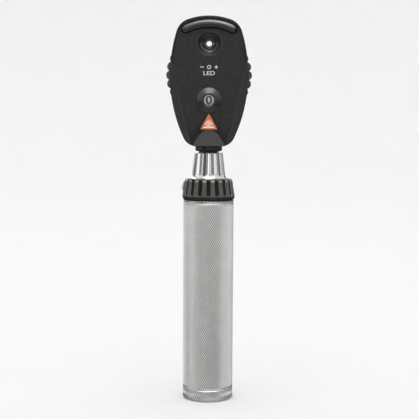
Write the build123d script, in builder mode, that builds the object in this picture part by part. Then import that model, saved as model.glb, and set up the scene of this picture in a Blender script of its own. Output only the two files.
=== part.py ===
"""Direct ophthalmoscope: an examination head on a round two-cell battery handle.

Millimetres.  +Z runs up the handle axis from the bottom face of the end cap, +X is
the examiner's right and the examiner's side of the head faces -Y, so the patient's
side faces +Y.  Each sub-part is one named solid (or a group of identical ones) in
its assembled place, with the head locked on, the lens wheel at zero and the end cap
screwed home.
"""

import os
from math import asin, atan2, cos, degrees, radians, sin, sqrt

from build123d import *

os.makedirs("parts", exist_ok=True)

# --- Driving dimensions -------------------------------------------------------------

# Handle
HANDLE_R = 15.0
TUBE_BORE_R = 13.6
CAP_H = 6.8
CAP_GAP = 0.1
CAP_NECK_H = 4.7
TUBE_TOP = 118.5
CELL_R = 13.1
CELL_BODY_H = 48.5
CELL_NUB_R = 3.3
CELL_NUB_H = 1.5
CELL_FOOT = 12.0
CELL_PITCH = CELL_BODY_H + CELL_NUB_H
CELL_TOP = CELL_FOOT + 2 * CELL_PITCH

# Rheostat ring and handle coupling
RING_FOOT = 119.85
RING_TOP = 132.15
RING_BORE_R = 10.5
RING_GROOVES = 18
GROOVE_R = 1.32
SLEEVE_R = 10.4
BUTTON_Z = 127.35
BUTTON_R = 1.9
BUTTON_FACE_X = -15.9
CONE_FOOT = 132.3
CONE_TOP = 147.8
CONE_FLANGE_R = 11.5
CONE_WAIST_R = 9.8
CONE_TOP_R = 8.4
CONE_WAIST_Z = 135.2
CONE_BORE_R = 6.0
FLUTES = 16
FLUTE_R = 0.75

# Head
HEAD_FOOT = 151.6
HEAD_TOP = 227.5
FACE_Y = -9.15
PANEL_T = 0.35
BACK_Y = 12.0
SEAM = 0.2
WALL = 1.8
FACE_WALL = 1.55
FACET_TILT = 35.0
FACET_TOP = (21.5, 200.8)
FACET_LOW = (10.4, 154.7)
PANEL_MARGIN = 1.3
CAVITY_FOOT = 156.6

# Optics on the head
WHEEL_Z = 193.1
WHEEL_R = 25.1
WHEEL_LOBES = 28
WHEEL_STATIONS = 28
LENS_PITCH_R = 18.4
DIAL_PITCH_R = 14.4
WHEEL_REAR_Y = -4.9
WHEEL_FRONT_Y = -1.0
SIGHT_Z = WHEEL_Z + LENS_PITCH_R
DISPLAY_Z = WHEEL_Z - DIAL_PITCH_R
BEAM_Y = 5.3
MIRROR_Z = 203.3
APERTURE_Y = 10.2
APERTURE_R = 8.0
APERTURE_PITCH_R = APERTURE_Y - BEAM_Y
FAIRING_HALF_W = 10.0
FAIRING_Y = 16.5

# Running clearances
FIT = 0.05
GAP = 0.3


# --- Shared outlines ----------------------------------------------------------------


def depth_plane(y):
    """Plane across the head at depth y: local x is X, local y is Z, normal is -Y."""
    return Plane.XZ.offset(-y)


def head_outline(inset=0.0):
    """Front outline of the head in tangent arcs, moved inwards by the inset."""
    with BuildSketch() as outline:
        with BuildLine():
            crown = JernArc((0, HEAD_TOP), (1, 0), 38.0, -19)
            shoulder = JernArc(crown @ 1, crown % 1, 10.5, -54)
            flank = JernArc(shoulder @ 1, shoulder % 1, 88.6, -17)
            taper = JernArc(flank @ 1, flank % 1, 85.0, -25)
            foot_r = ((taper @ 1).Y - HEAD_FOOT) / (1 - sin(radians(25)))
            foot = JernArc(taper @ 1, taper % 1, foot_r, -65)
            Line(foot @ 1, (0, HEAD_FOOT))
            mirror(about=Plane.YZ)
        make_face()
        if inset > 0:
            offset(amount=-inset)
    return outline.sketch


def head_slab(rear_y, front_y, inset=0.0):
    """Slab of the head outline between two depths."""
    with BuildPart() as slab:
        with BuildSketch(depth_plane(front_y)):
            add(head_outline(inset))
        extrude(amount=front_y - rear_y)
    return slab.part


def facet_plane(side, shift, face_y):
    """Plane of one sloping side facet, whose edge on the face is moved out by shift."""
    top = Vector(side * (FACET_TOP[0] + shift), face_y, FACET_TOP[1])
    low = Vector(side * (FACET_LOW[0] + shift), face_y, FACET_LOW[1])
    along = (low - top).normalized()
    outward = Vector(-side * along.Z, 0, side * along.X)
    tilt = radians(FACET_TILT)
    normal = Vector(0, -1, 0) * cos(tilt) + outward * sin(tilt)
    return Plane(origin=top, x_dir=along, z_dir=normal)


def faceted_block(back_y, face_y, inset, shift, wall=0.0):
    """Slab of the head outline from back_y to face_y with both side facets cut away."""
    with BuildPart() as block:
        add(head_slab(face_y, back_y, inset))
        for side in (-1, 1):
            with BuildSketch(facet_plane(side, shift, FACE_Y).offset(-wall)):
                Rectangle(220, 220)
            extrude(amount=40, mode=Mode.SUBTRACT)
    return block.part


def turned(profile, centre_z=0.0, direction=(0, 0, 1)):
    """Solid turned from (radius, height) points about Z, or (radius, Y) points about Y."""
    upright = direction == (0, 0, 1)
    plane = Plane.XZ if upright else Plane.XY.offset(centre_z)
    axis = Axis((0, 0, 0), (0, 0, 1)) if upright else Axis((0, 0, centre_z), (0, 1, 0))
    with BuildPart() as solid:
        with BuildSketch(plane):
            with BuildLine():
                Polyline(*profile, close=True)
            make_face()
        revolve(axis=axis)
    return solid.part


def dome_middle(edge_r, rise):
    """Middle (radius, height) of a spherical dome of that rise over its edge circle."""
    ball_r = (edge_r**2 + rise**2) / (2 * rise)
    half = asin(edge_r / ball_r) / 2
    return ball_r * sin(half), rise - ball_r * (1 - cos(half))


ALONG_Y = (0, 1, 0)


# --- End cap ------------------------------------------------------------------------

with BuildPart() as end_cap:
    with BuildSketch(Plane.XZ):
        with BuildLine():
            Polyline(
                (0, 0),
                (HANDLE_R - 0.9, 0),
                (HANDLE_R - 0.25, 0.25),
                (HANDLE_R, 0.9),
                (HANDLE_R, CAP_H - 0.3),
                (HANDLE_R - 0.3, CAP_H),
                (12.6, CAP_H),
                (12.6, CAP_H + 1.5),
                (TUBE_BORE_R - FIT, CAP_H + 1.5),
                (TUBE_BORE_R - FIT, CAP_H + CAP_NECK_H - 0.4),
                (TUBE_BORE_R - FIT - 0.4, CAP_H + CAP_NECK_H),
                (12.0, CAP_H + CAP_NECK_H),
                (12.0, 2.6),
                (0, 2.6),
                close=True,
            )
        make_face()
    revolve(axis=Axis.Z)
end_cap.part.label = "end_cap"
export_step(end_cap.part, "parts/end_cap.step")

with BuildPart() as cap_contact:
    with BuildSketch(Plane.XY.offset(2.6)):
        Circle(11.4)
        Circle(1.5, mode=Mode.SUBTRACT)
    extrude(amount=0.4)
cap_contact.part.label = "cap_contact"
export_step(cap_contact.part, "parts/cap_contact.step")

SPRING_WIRE_R = 0.5
with BuildPart() as battery_spring:
    with BuildLine() as coil:
        Helix(
            pitch=2.25,
            height=CELL_FOOT - 3.0 - 2 * SPRING_WIRE_R - 0.1,
            radius=7.5,
            center=(0, 0, 3.0 + SPRING_WIRE_R),
        )
    with BuildSketch(Plane(origin=coil.line @ 0, z_dir=coil.line % 0)):
        Circle(SPRING_WIRE_R)
    sweep(path=coil.line, is_frenet=True)
battery_spring.part.label = "battery_spring"
export_step(battery_spring.part, "parts/battery_spring.step")

CAP_SEAL_R = 0.42
with BuildPart() as cap_seal:
    with BuildSketch(Plane.XZ):
        with Locations((13.12, CAP_H + 0.8)):
            Circle(CAP_SEAL_R)
    revolve(axis=Axis.Z)
cap_seal.part.label = "cap_seal"
export_step(cap_seal.part, "parts/cap_seal.step")

# --- Handle tube and cells ----------------------------------------------------------

TUBE_FOOT = CAP_H + CAP_GAP
with BuildPart() as handle_tube:
    with BuildSketch(Plane.XZ):
        with BuildLine():
            Polyline(
                (TUBE_BORE_R, TUBE_FOOT),
                (HANDLE_R - 0.3, TUBE_FOOT),
                (HANDLE_R, TUBE_FOOT + 0.3),
                (HANDLE_R, TUBE_TOP - 0.3),
                (HANDLE_R - 0.3, TUBE_TOP),
                (TUBE_BORE_R, TUBE_TOP),
                close=True,
            )
        make_face()
    revolve(axis=Axis.Z)
handle_tube.part.label = "handle_tube"
export_step(handle_tube.part, "parts/handle_tube.step")


def cell_body(foot):
    """One size C cell standing on foot."""
    with BuildPart() as cell:
        with BuildSketch(Plane.XY.offset(foot)):
            Circle(CELL_R)
        extrude(amount=CELL_BODY_H)
        fillet(cell.edges(), 0.6)
        with BuildSketch(Plane.XY.offset(foot + CELL_BODY_H)):
            Circle(CELL_NUB_R)
        extrude(amount=CELL_NUB_H)
        fillet(cell.edges().sort_by(Axis.Z)[-1], 0.3)
    return cell.part


with BuildPart() as lower_cell:
    add(cell_body(CELL_FOOT))
lower_cell.part.label = "lower_cell"
export_step(lower_cell.part, "parts/lower_cell.step")

with BuildPart() as upper_cell:
    add(cell_body(CELL_FOOT + CELL_PITCH))
upper_cell.part.label = "upper_cell"
export_step(upper_cell.part, "parts/upper_cell.step")

BULKHEAD_FOOT = CELL_TOP - 1.2
BULKHEAD_TOP = 114.2
PLATE_T = 0.7
with BuildPart() as battery_bulkhead:
    add(
        turned(
            [
                (4.0, BULKHEAD_FOOT),
                (TUBE_BORE_R, BULKHEAD_FOOT),
                (TUBE_BORE_R, BULKHEAD_TOP),
                (3.2, BULKHEAD_TOP),
                (3.2, CELL_TOP + PLATE_T),
                (5.6, CELL_TOP + PLATE_T),
                (5.6, CELL_TOP),
                (4.0, CELL_TOP),
            ]
        )
    )
battery_bulkhead.part.label = "battery_bulkhead"
export_step(battery_bulkhead.part, "parts/battery_bulkhead.step")

with BuildPart() as contact_plate:
    with BuildSketch(Plane.XY.offset(CELL_TOP)):
        Circle(5.5)
    extrude(amount=PLATE_T)
contact_plate.part.label = "contact_plate"
export_step(contact_plate.part, "parts/contact_plate.step")

# --- Sleeve, rheostat and lock button -----------------------------------------------

SLEEVE_NECK_FOOT = 126.0
BUSH_R = 5.0
CONE_NECK_R = 8.0
with BuildPart() as carrier_sleeve:
    add(
        turned(
            [
                (BUSH_R, BULKHEAD_TOP),
                (TUBE_BORE_R, BULKHEAD_TOP),
                (TUBE_BORE_R, TUBE_TOP),
                (14.2, TUBE_TOP),
                (14.2, TUBE_TOP + 0.6),
                (SLEEVE_R, TUBE_TOP + 0.6),
                (SLEEVE_R, CONE_FOOT),
                (CONE_NECK_R, CONE_FOOT),
                (CONE_NECK_R, SLEEVE_NECK_FOOT),
                (BUSH_R, SLEEVE_NECK_FOOT),
            ]
        )
    )
carrier_sleeve.part.label = "carrier_sleeve"
export_step(carrier_sleeve.part, "parts/carrier_sleeve.step")

WASHER_FOOT = TUBE_TOP + 0.6
WASHER_TOP = WASHER_FOOT + 0.65
with BuildPart() as ring_washer:
    with BuildSketch(Plane.XY.offset(WASHER_FOOT)):
        Circle(HANDLE_R + 0.1)
        Circle(SLEEVE_R, mode=Mode.SUBTRACT)
    extrude(amount=WASHER_TOP - WASHER_FOOT)
    fillet(ring_washer.edges().group_by(SortBy.LENGTH)[-1], 0.2)
ring_washer.part.label = "ring_washer"
export_step(ring_washer.part, "parts/ring_washer.step")

TRACK_TOP = WASHER_TOP + 0.6
with BuildPart() as rheostat_track:
    with BuildSketch(Plane.XY.offset(WASHER_TOP)):
        Circle(12.9)
        Circle(SLEEVE_R, mode=Mode.SUBTRACT)
    extrude(amount=TRACK_TOP - WASHER_TOP)
rheostat_track.part.label = "rheostat_track"
export_step(rheostat_track.part, "parts/rheostat_track.step")

RING_LAND_FOOT = (15.5, 122.6)
RING_LAND_TOP = (14.45, 129.2)
land_lean = atan2(RING_LAND_FOOT[0] - RING_LAND_TOP[0], RING_LAND_TOP[1] - RING_LAND_FOOT[1])
with BuildPart() as groove_cutter:
    groove_start = (RING_LAND_FOOT[0] - 0.1, 0, RING_LAND_FOOT[1] + GROOVE_R)
    groove_dir = Vector(-sin(land_lean), 0, cos(land_lean))
    with BuildSketch(Plane(origin=groove_start, x_dir=(0, 1, 0), z_dir=groove_dir)):
        Circle(GROOVE_R)
    extrude(amount=12)
    with Locations(groove_start):
        Sphere(GROOVE_R)

with BuildPart() as rheostat_ring:
    with BuildSketch(Plane.XZ):
        with BuildLine():
            Polyline(
                (13.3, RING_FOOT),
                (14.6, RING_FOOT),
                (15.0, RING_FOOT + 0.3),
            )
            ThreePointArc((15.0, RING_FOOT + 0.3), (15.52, 121.2), RING_LAND_FOOT)
            Line(RING_LAND_FOOT, RING_LAND_TOP)
            ThreePointArc(RING_LAND_TOP, (14.2, 130.9), (13.3, RING_TOP))
            Polyline(
                (13.3, RING_TOP),
                (RING_BORE_R, RING_TOP),
                (RING_BORE_R, 122.6),
                (13.3, 122.6),
                (13.3, RING_FOOT),
            )
        make_face()
    revolve(axis=Axis.Z)
    with PolarLocations(0, RING_GROOVES, start_angle=-90):
        add(groove_cutter.part, mode=Mode.SUBTRACT)
    with BuildSketch(Plane(origin=(-13.2, 0, BUTTON_Z), x_dir=(0, 1, 0), z_dir=(-1, 0, 0))):
        Circle(BUTTON_R + 0.95)
    extrude(amount=1.75)
    with BuildSketch(Plane(origin=(-11.6, 0, BUTTON_Z), x_dir=(0, 1, 0), z_dir=(-1, 0, 0))):
        Circle(BUTTON_R + 0.15)
    extrude(amount=6, mode=Mode.SUBTRACT)
rheostat_ring.part.label = "rheostat_ring"
export_step(rheostat_ring.part, "parts/rheostat_ring.step")

with BuildPart() as wiper_contact:
    with BuildSketch(Plane.XZ):
        with BuildLine():
            Polyline(
                (10.7, 122.6),
                (13.2, 122.6),
                (13.2, 122.1),
                (12.3, 122.1),
                (12.3, TRACK_TOP + 0.1),
                (11.8, TRACK_TOP + 0.1),
                (11.8, 122.1),
                (10.7, 122.1),
                close=True,
            )
        make_face()
    revolve(axis=Axis.Z, revolution_arc=24)
wiper_contact.part.label = "wiper_contact"
export_step(wiper_contact.part, "parts/wiper_contact.step")

BUTTON_SKIRT_X = -13.0
with BuildPart() as lock_button:
    with BuildSketch(Plane(origin=(BUTTON_SKIRT_X, 0, BUTTON_Z), x_dir=(0, 1, 0), z_dir=(-1, 0, 0))):
        Circle(BUTTON_R)
    extrude(amount=BUTTON_SKIRT_X - BUTTON_FACE_X)
    fillet(lock_button.edges().sort_by(Axis.X)[0], 0.5)
    with BuildSketch(Plane(origin=(BUTTON_SKIRT_X, 0, BUTTON_Z), x_dir=(0, 1, 0), z_dir=(-1, 0, 0))):
        Circle(BUTTON_R - 0.5)
    extrude(amount=1.7, mode=Mode.SUBTRACT)
lock_button.part.label = "lock_button"
export_step(lock_button.part, "parts/lock_button.step")

BUTTON_SPRING_R = 0.95
BUTTON_WIRE_R = 0.17
with BuildPart() as lock_button_spring:
    with BuildLine() as button_coil:
        Helix(
            pitch=0.72,
            height=2.66,
            radius=BUTTON_SPRING_R,
            center=(-11.82, 0, BUTTON_Z),
            direction=(-1, 0, 0),
        )
    with BuildSketch(Plane(origin=button_coil.line @ 0, z_dir=button_coil.line % 0)):
        Circle(BUTTON_WIRE_R)
    sweep(path=button_coil.line, is_frenet=True)
lock_button_spring.part.label = "lock_button_spring"
export_step(lock_button_spring.part, "parts/lock_button_spring.step")

# --- Coupling cone ------------------------------------------------------------------

LUG_R = 6.9
LUG_FOOT = 139.2
LUG_TOP = 141.0
LUG_ARC = 26.0
TWIST = 35.0
SLOT_ARC = LUG_ARC + 6.0


def ring_sector(inner_r, outer_r, foot, top, start, arc):
    """Sector of a ring about Z that starts at the angle start and spans arc."""
    plane = Plane(origin=(0, 0, 0), x_dir=(cos(radians(start)), sin(radians(start)), 0),
                  z_dir=(sin(radians(start)), -cos(radians(start)), 0))
    with BuildPart() as sector:
        with BuildSketch(plane):
            with BuildLine():
                Polyline((inner_r, foot), (outer_r, foot), (outer_r, top), (inner_r, top),
                         close=True)
            make_face()
        revolve(axis=Axis.Z, revolution_arc=arc)
    return sector.part


flute_lean = atan2(CONE_WAIST_R - CONE_TOP_R, 147.5 - CONE_WAIST_Z)
with BuildPart() as flute_cutter:
    flute_start = (CONE_WAIST_R - 0.28 + 0.2, 0, CONE_WAIST_Z + 0.5)
    flute_dir = Vector(-sin(flute_lean), 0, cos(flute_lean))
    with BuildSketch(Plane(origin=flute_start, x_dir=(0, 1, 0), z_dir=flute_dir)):
        Circle(FLUTE_R)
    extrude(amount=16)
    with Locations(flute_start):
        Sphere(FLUTE_R)

with BuildPart() as coupling_cone:
    with BuildSketch(Plane.XZ):
        with BuildLine():
            Polyline(
                (BUSH_R - 0.5, SLEEVE_NECK_FOOT),
                (CONE_NECK_R, SLEEVE_NECK_FOOT),
                (CONE_NECK_R, CONE_FOOT),
                (CONE_FLANGE_R, CONE_FOOT),
                (CONE_FLANGE_R, CONE_FOOT + 0.5),
            )
            ThreePointArc(
                (CONE_FLANGE_R, CONE_FOOT + 0.5), (10.25, CONE_FOOT + 1.35), (CONE_WAIST_R, CONE_WAIST_Z)
            )
            Line((CONE_WAIST_R, CONE_WAIST_Z), (CONE_TOP_R, CONE_TOP - 0.3))
            Polyline(
                (CONE_TOP_R, CONE_TOP - 0.3),
                (CONE_TOP_R - 0.3, CONE_TOP),
                (CONE_BORE_R, CONE_TOP),
                (CONE_BORE_R, 134.4),
                (BUSH_R - 0.5, 134.4),
                (BUSH_R - 0.5, SLEEVE_NECK_FOOT),
            )
        make_face()
    revolve(axis=Axis.Z)
    with PolarLocations(0, FLUTES, start_angle=-98):
        add(flute_cutter.part, mode=Mode.SUBTRACT)
    for half in (0, 180):
        # the bayonet track: a level channel that opens into an entry slot at its far end
        start = half - LUG_ARC / 2 - 2.0
        add(
            ring_sector(CONE_BORE_R - 0.5, LUG_R + GAP, LUG_FOOT - GAP, LUG_TOP + GAP, start,
                        LUG_ARC + TWIST + 5.0),
            mode=Mode.SUBTRACT,
        )
        slot_start = half + TWIST - SLOT_ARC / 2
        add(
            ring_sector(CONE_BORE_R - 0.5, LUG_R + 0.1, LUG_FOOT, CONE_TOP + 1, slot_start, SLOT_ARC),
            mode=Mode.SUBTRACT,
        )
coupling_cone.part.label = "coupling_cone"
export_step(coupling_cone.part, "parts/coupling_cone.step")

PIN_R = 1.6
BUSH_BORE_FOOT = 126.9
with BuildPart() as insulator_bush:
    add(
        turned(
            [
                (3.2, BULKHEAD_TOP),
                (BUSH_R, BULKHEAD_TOP),
                (BUSH_R, SLEEVE_NECK_FOOT),
                (BUSH_R - 0.5, SLEEVE_NECK_FOOT),
                (BUSH_R - 0.5, 134.4),
                (PIN_R + FIT, 134.4),
                (PIN_R + FIT, BUSH_BORE_FOOT),
                (3.2, BUSH_BORE_FOOT),
            ]
        )
    )
insulator_bush.part.label = "insulator_bush"
export_step(insulator_bush.part, "parts/insulator_bush.step")

PIN_TOP = 136.2
with BuildPart() as contact_pin:
    with BuildSketch(Plane.XZ):
        with BuildLine():
            Polyline(
                (0, 120.6),
                (1.1, 120.6),
                (1.4, 120.9),
                (1.4, 124.6),
                (2.9, 124.6),
                (2.9, 125.8),
                (PIN_R, 125.8),
                (PIN_R, PIN_TOP - 0.6),
            )
            middle_r, middle_h = dome_middle(PIN_R, 0.6)
            ThreePointArc((PIN_R, PIN_TOP - 0.6), (middle_r, PIN_TOP - 0.6 + middle_h), (0, PIN_TOP))
            Line((0, PIN_TOP), (0, 120.6))
        make_face()
    revolve(axis=Axis.Z)
contact_pin.part.label = "contact_pin"
export_step(contact_pin.part, "parts/contact_pin.step")

PIN_WIRE_R = 0.22
with BuildPart() as pin_spring:
    with BuildLine() as pin_coil:
        Helix(
            pitch=1.45,
            height=124.6 - CELL_TOP - PLATE_T - 2 * PIN_WIRE_R - 0.04,
            radius=2.1,
            center=(0, 0, CELL_TOP + PLATE_T + PIN_WIRE_R + 0.02),
        )
    with BuildSketch(Plane(origin=pin_coil.line @ 0, z_dir=pin_coil.line % 0)):
        Circle(PIN_WIRE_R)
    sweep(path=pin_coil.line, is_frenet=True)
pin_spring.part.label = "pin_spring"
export_step(pin_spring.part, "parts/pin_spring.step")

# --- Head spigot --------------------------------------------------------------------

SPIGOT_R = 5.9
SPIGOT_FOOT = 136.35
SPIGOT_BORE_R = 3.4
COLLAR_R = 8.0
COLLAR_FOOT = 148.55
COLLAR_ROUND = 1.3
FLANGE_R = 7.2
with BuildPart() as head_spigot:
    with BuildSketch(Plane.XZ):
        with BuildLine():
            Polyline(
                (SPIGOT_BORE_R, SPIGOT_FOOT),
                (SPIGOT_R - 0.4, SPIGOT_FOOT),
                (SPIGOT_R, SPIGOT_FOOT + 0.4),
                (SPIGOT_R, COLLAR_FOOT),
                (COLLAR_R - COLLAR_ROUND, COLLAR_FOOT),
            )
            RadiusArc(
                (COLLAR_R - COLLAR_ROUND, COLLAR_FOOT),
                (COLLAR_R, COLLAR_FOOT + COLLAR_ROUND),
                -COLLAR_ROUND,
            )
            Polyline(
                (COLLAR_R, COLLAR_FOOT + COLLAR_ROUND),
                (COLLAR_R, 151.0),
                (COLLAR_R - 0.3, 151.3),
                (7.3, 151.3),
                (7.3, HEAD_FOOT),
                (6.0, HEAD_FOOT),
                (6.0, 153.2),
                (FLANGE_R, 153.2),
                (FLANGE_R, 154.6),
                (6.0, 154.6),
                (6.0, 156.0),
                (SPIGOT_BORE_R, 156.0),
                (SPIGOT_BORE_R, SPIGOT_FOOT),
            )
        make_face()
    revolve(axis=Axis.Z)
    for half in (0, 180):
        add(ring_sector(SPIGOT_R - 0.4, LUG_R, LUG_FOOT, LUG_TOP, half - LUG_ARC / 2, LUG_ARC))
head_spigot.part.label = "head_spigot"
export_step(head_spigot.part, "parts/head_spigot.step")

with BuildPart() as spigot_insulator:
    add(
        turned(
            [
                (1.2, 137.0),
                (2.3, 137.0),
                (2.3, SPIGOT_FOOT),
                (SPIGOT_BORE_R, SPIGOT_FOOT),
                (SPIGOT_BORE_R, CAVITY_FOOT),
                (1.2, CAVITY_FOOT),
            ]
        )
    )
spigot_insulator.part.label = "spigot_insulator"
export_step(spigot_insulator.part, "parts/spigot_insulator.step")

with BuildPart() as spigot_contact:
    add(turned([(0, 136.3), (2.3, 136.3), (2.3, 137.0), (1.2, 137.0), (1.2, 157.0), (0, 157.0)]))
spigot_contact.part.label = "spigot_contact"
export_step(spigot_contact.part, "parts/spigot_contact.step")

# --- Head housings ------------------------------------------------------------------

FOOT_SCREW = (12.6, 163.5)
TOP_SCREW = (10.5, 222.0)
SCREWS = [(side * x, z) for (x, z) in (FOOT_SCREW, TOP_SCREW) for side in (-1, 1)]
BEZEL_R = 7.25
BROW_R = 30.8
BROW_MID_Z = 222.9
BROW_W = 4.1
BROW_HALF_ANGLE = degrees(asin(13.7 / BROW_R))
CAVITY_FACE_Y = FACE_Y + FACE_WALL
WHEEL_WAY_R = WHEEL_R + 0.5


def brow_slot(rear_y, front_y, width):
    """Arched slot of the brow rest between two depths."""
    with BuildPart() as slot:
        with BuildLine() as path:
            CenterArc((0, BROW_MID_Z - BROW_R), BROW_R, 90 - BROW_HALF_ANGLE, 2 * BROW_HALF_ANGLE)
        with BuildSketch(depth_plane(front_y)):
            SlotArc(path.edge(), width)
        extrude(amount=front_y - rear_y)
    return slot.part


def spigot_seat():
    """Round seat that both housings share around the spigot and its flange."""
    with BuildPart() as seat:
        with BuildSketch(Plane.XY.offset(HEAD_FOOT - 1)):
            Circle(6.0)
        extrude(amount=CAVITY_FOOT - HEAD_FOOT + 2)
        with BuildSketch(Plane.XY.offset(153.2)):
            Circle(FLANGE_R)
        extrude(amount=1.4)
    return seat.part


def above_foot(shape):
    """The part of a cavity that lies above the solid foot of the head."""
    with BuildPart() as upper:
        add(shape)
        with Locations((0, 0, CAVITY_FOOT)):
            Box(80, 80, 20, align=(Align.CENTER, Align.CENTER, Align.MAX), mode=Mode.SUBTRACT)
    return upper.part


rear_cavity = above_foot(
    faceted_block(-SEAM + 1, CAVITY_FACE_Y, WALL, 0.0, wall=FACE_WALL)
)
TONGUE_TOP = 161.6
TONGUE_FOOT = 152.1
TONGUE_HALF_W = sqrt(9.6 * (TONGUE_TOP - TONGUE_FOOT))
TONGUE_SLOPE = radians(11)

# wedge under the badge: its flat face stands out from the panel towards the foot
with BuildPart() as tongue:
    with BuildSketch(depth_plane(FACE_Y + 0.5)):
        with BuildLine():
            Bezier(
                (-TONGUE_HALF_W, TONGUE_FOOT),
                (0, 2 * TONGUE_TOP - TONGUE_FOOT),
                (TONGUE_HALF_W, TONGUE_FOOT),
            )
            Line((TONGUE_HALF_W, TONGUE_FOOT), (-TONGUE_HALF_W, TONGUE_FOOT))
        make_face()
    extrude(amount=0.5 + PANEL_T + 3.0)
    slope_plane = Plane(
        origin=(0, FACE_Y - PANEL_T - 0.12, TONGUE_TOP),
        x_dir=(1, 0, 0),
        z_dir=(0, -cos(TONGUE_SLOPE), sin(TONGUE_SLOPE)),
    )
    with BuildSketch(slope_plane):
        Rectangle(60, 60)
    extrude(amount=10, mode=Mode.SUBTRACT)

with BuildPart() as rear_housing:
    add(faceted_block(-SEAM, FACE_Y, 0.0, PANEL_MARGIN))
    fillet(rear_housing.faces().sort_by(Axis.Y)[0].edges(), 0.7)
    add(faceted_block(FACE_Y + 0.5, FACE_Y - PANEL_T, 1.6, 0.0, wall=-PANEL_T))
    add(rear_cavity, mode=Mode.SUBTRACT)
    # screw posts
    with BuildSketch(depth_plane(-SEAM)):
        with Locations(*SCREWS):
            Circle(2.4)
    extrude(amount=-SEAM - CAVITY_FACE_Y + 0.3)
    with BuildSketch(depth_plane(-SEAM)):
        with Locations(*SCREWS):
            Circle(1.0)
    extrude(amount=6.2, mode=Mode.SUBTRACT)
    # way of the lens wheel, open at both flanks
    with BuildSketch(depth_plane(1)):
        with Locations((0, WHEEL_Z)):
            Circle(WHEEL_WAY_R)
    extrude(amount=1 - WHEEL_REAR_Y + 0.4, mode=Mode.SUBTRACT)
    add(tongue.part)
    # seats on the face
    add(brow_slot(FACE_Y - 3, FACE_Y - PANEL_T + 1.1, BROW_W + 1.4), mode=Mode.SUBTRACT)
    with BuildSketch(depth_plane(FACE_Y - 2)):
        with Locations((0, SIGHT_Z)):
            Circle(BEZEL_R)
        with Locations((0, DISPLAY_Z)):
            Circle(3.6)
    extrude(amount=-6, mode=Mode.SUBTRACT)
    add(spigot_seat(), mode=Mode.SUBTRACT)
rear_housing.part.label = "rear_housing"
export_step(rear_housing.part, "parts/rear_housing.step")

WINDOW_FOOT = 199.6
WINDOW_TOP = 206.6
WINDOW_W = 8.0
THUMB_FOOT = 170.7
THUMB_TOP = 174.8
FAIRING_FOOT = 156.0
FAIRING_TOP = 219.5
FRONT_WALL_Y = BACK_Y - WALL
FAIRING_IN_Y = FAIRING_Y - 1.6

with BuildPart() as front_housing:
    add(head_slab(SEAM, BACK_Y))
    fillet(front_housing.faces().sort_by(Axis.Y)[-1].edges(), 3.0)
    with BuildSketch(depth_plane(BACK_Y - 3)):
        with Locations((0, (FAIRING_FOOT + FAIRING_TOP) / 2)):
            RectangleRounded(2 * FAIRING_HALF_W, FAIRING_TOP - FAIRING_FOOT, 5.0)
    extrude(amount=BACK_Y - 3 - FAIRING_Y)
    fillet(front_housing.faces().sort_by(Axis.Y)[-1].edges(), 2.0)
    add(above_foot(head_slab(-1, FRONT_WALL_Y, WALL)), mode=Mode.SUBTRACT)
    with BuildSketch(depth_plane(FRONT_WALL_Y - 1)):
        with Locations((0, (158.4 + 218.0) / 2)):
            RectangleRounded(2 * (FAIRING_HALF_W - 1.4), 218.0 - 158.4, 4.0)
    extrude(amount=FRONT_WALL_Y - 1 - FAIRING_IN_Y, mode=Mode.SUBTRACT)
    # screw posts and the two chassis posts
    with BuildSketch(depth_plane(SEAM)):
        with Locations(*SCREWS):
            Circle(2.4)
    extrude(amount=SEAM - FRONT_WALL_Y - 0.3)
    with BuildSketch(depth_plane(1.4)):
        with Locations((-16, WHEEL_Z), (16, WHEEL_Z)):
            Circle(2.2)
    extrude(amount=1.4 - FRONT_WALL_Y - 0.3)
    with BuildSketch(depth_plane(1.4)):
        with Locations((-16, WHEEL_Z), (16, WHEEL_Z)):
            Circle(0.8)
    extrude(amount=-5.0, mode=Mode.SUBTRACT)
    with BuildSketch(depth_plane(SEAM)):
        with Locations(*SCREWS):
            Circle(1.2)
    extrude(amount=SEAM - BACK_Y - 1, mode=Mode.SUBTRACT)
    with BuildSketch(depth_plane(10.2)):
        with Locations(*SCREWS):
            Circle(2.0)
    extrude(amount=-8, mode=Mode.SUBTRACT)
    # light window with its glass seat, sight opening and thumbwheel slot
    with BuildSketch(depth_plane(FAIRING_IN_Y - 1)):
        with Locations((0, (WINDOW_FOOT + WINDOW_TOP) / 2)):
            RectangleRounded(WINDOW_W + 1.2, WINDOW_TOP - WINDOW_FOOT + 1.2, 1.6)
        with Locations((0, SIGHT_Z)):
            Circle(3.7)
    extrude(amount=-2.0, mode=Mode.SUBTRACT)
    with BuildSketch(depth_plane(FAIRING_IN_Y)):
        with Locations((0, (WINDOW_FOOT + WINDOW_TOP) / 2)):
            RectangleRounded(WINDOW_W, WINDOW_TOP - WINDOW_FOOT, 1.2)
        with Locations((0, SIGHT_Z)):
            Circle(3.7)
    extrude(amount=-4, mode=Mode.SUBTRACT)
    with Locations((0, FAIRING_IN_Y - 1, (THUMB_FOOT + THUMB_TOP) / 2)):
        Box(14.4, 8, THUMB_TOP - THUMB_FOOT, align=(Align.CENTER, Align.MIN, Align.CENTER),
            mode=Mode.SUBTRACT)
    add(spigot_seat(), mode=Mode.SUBTRACT)
front_housing.part.label = "front_housing"
export_step(front_housing.part, "parts/front_housing.step")

with BuildPart() as housing_seal:
    add(head_slab(-SEAM, SEAM, 0.35))
    add(head_slab(-1, 1, WALL), mode=Mode.SUBTRACT)
    with BuildSketch(depth_plane(1)):
        with Locations((0, WHEEL_Z)):
            Circle(WHEEL_WAY_R - 3.5)
    extrude(amount=2, mode=Mode.SUBTRACT)
    add(spigot_seat(), mode=Mode.SUBTRACT)
housing_seal.part.label = "housing_seal"
export_step(housing_seal.part, "parts/housing_seal.step")

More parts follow.
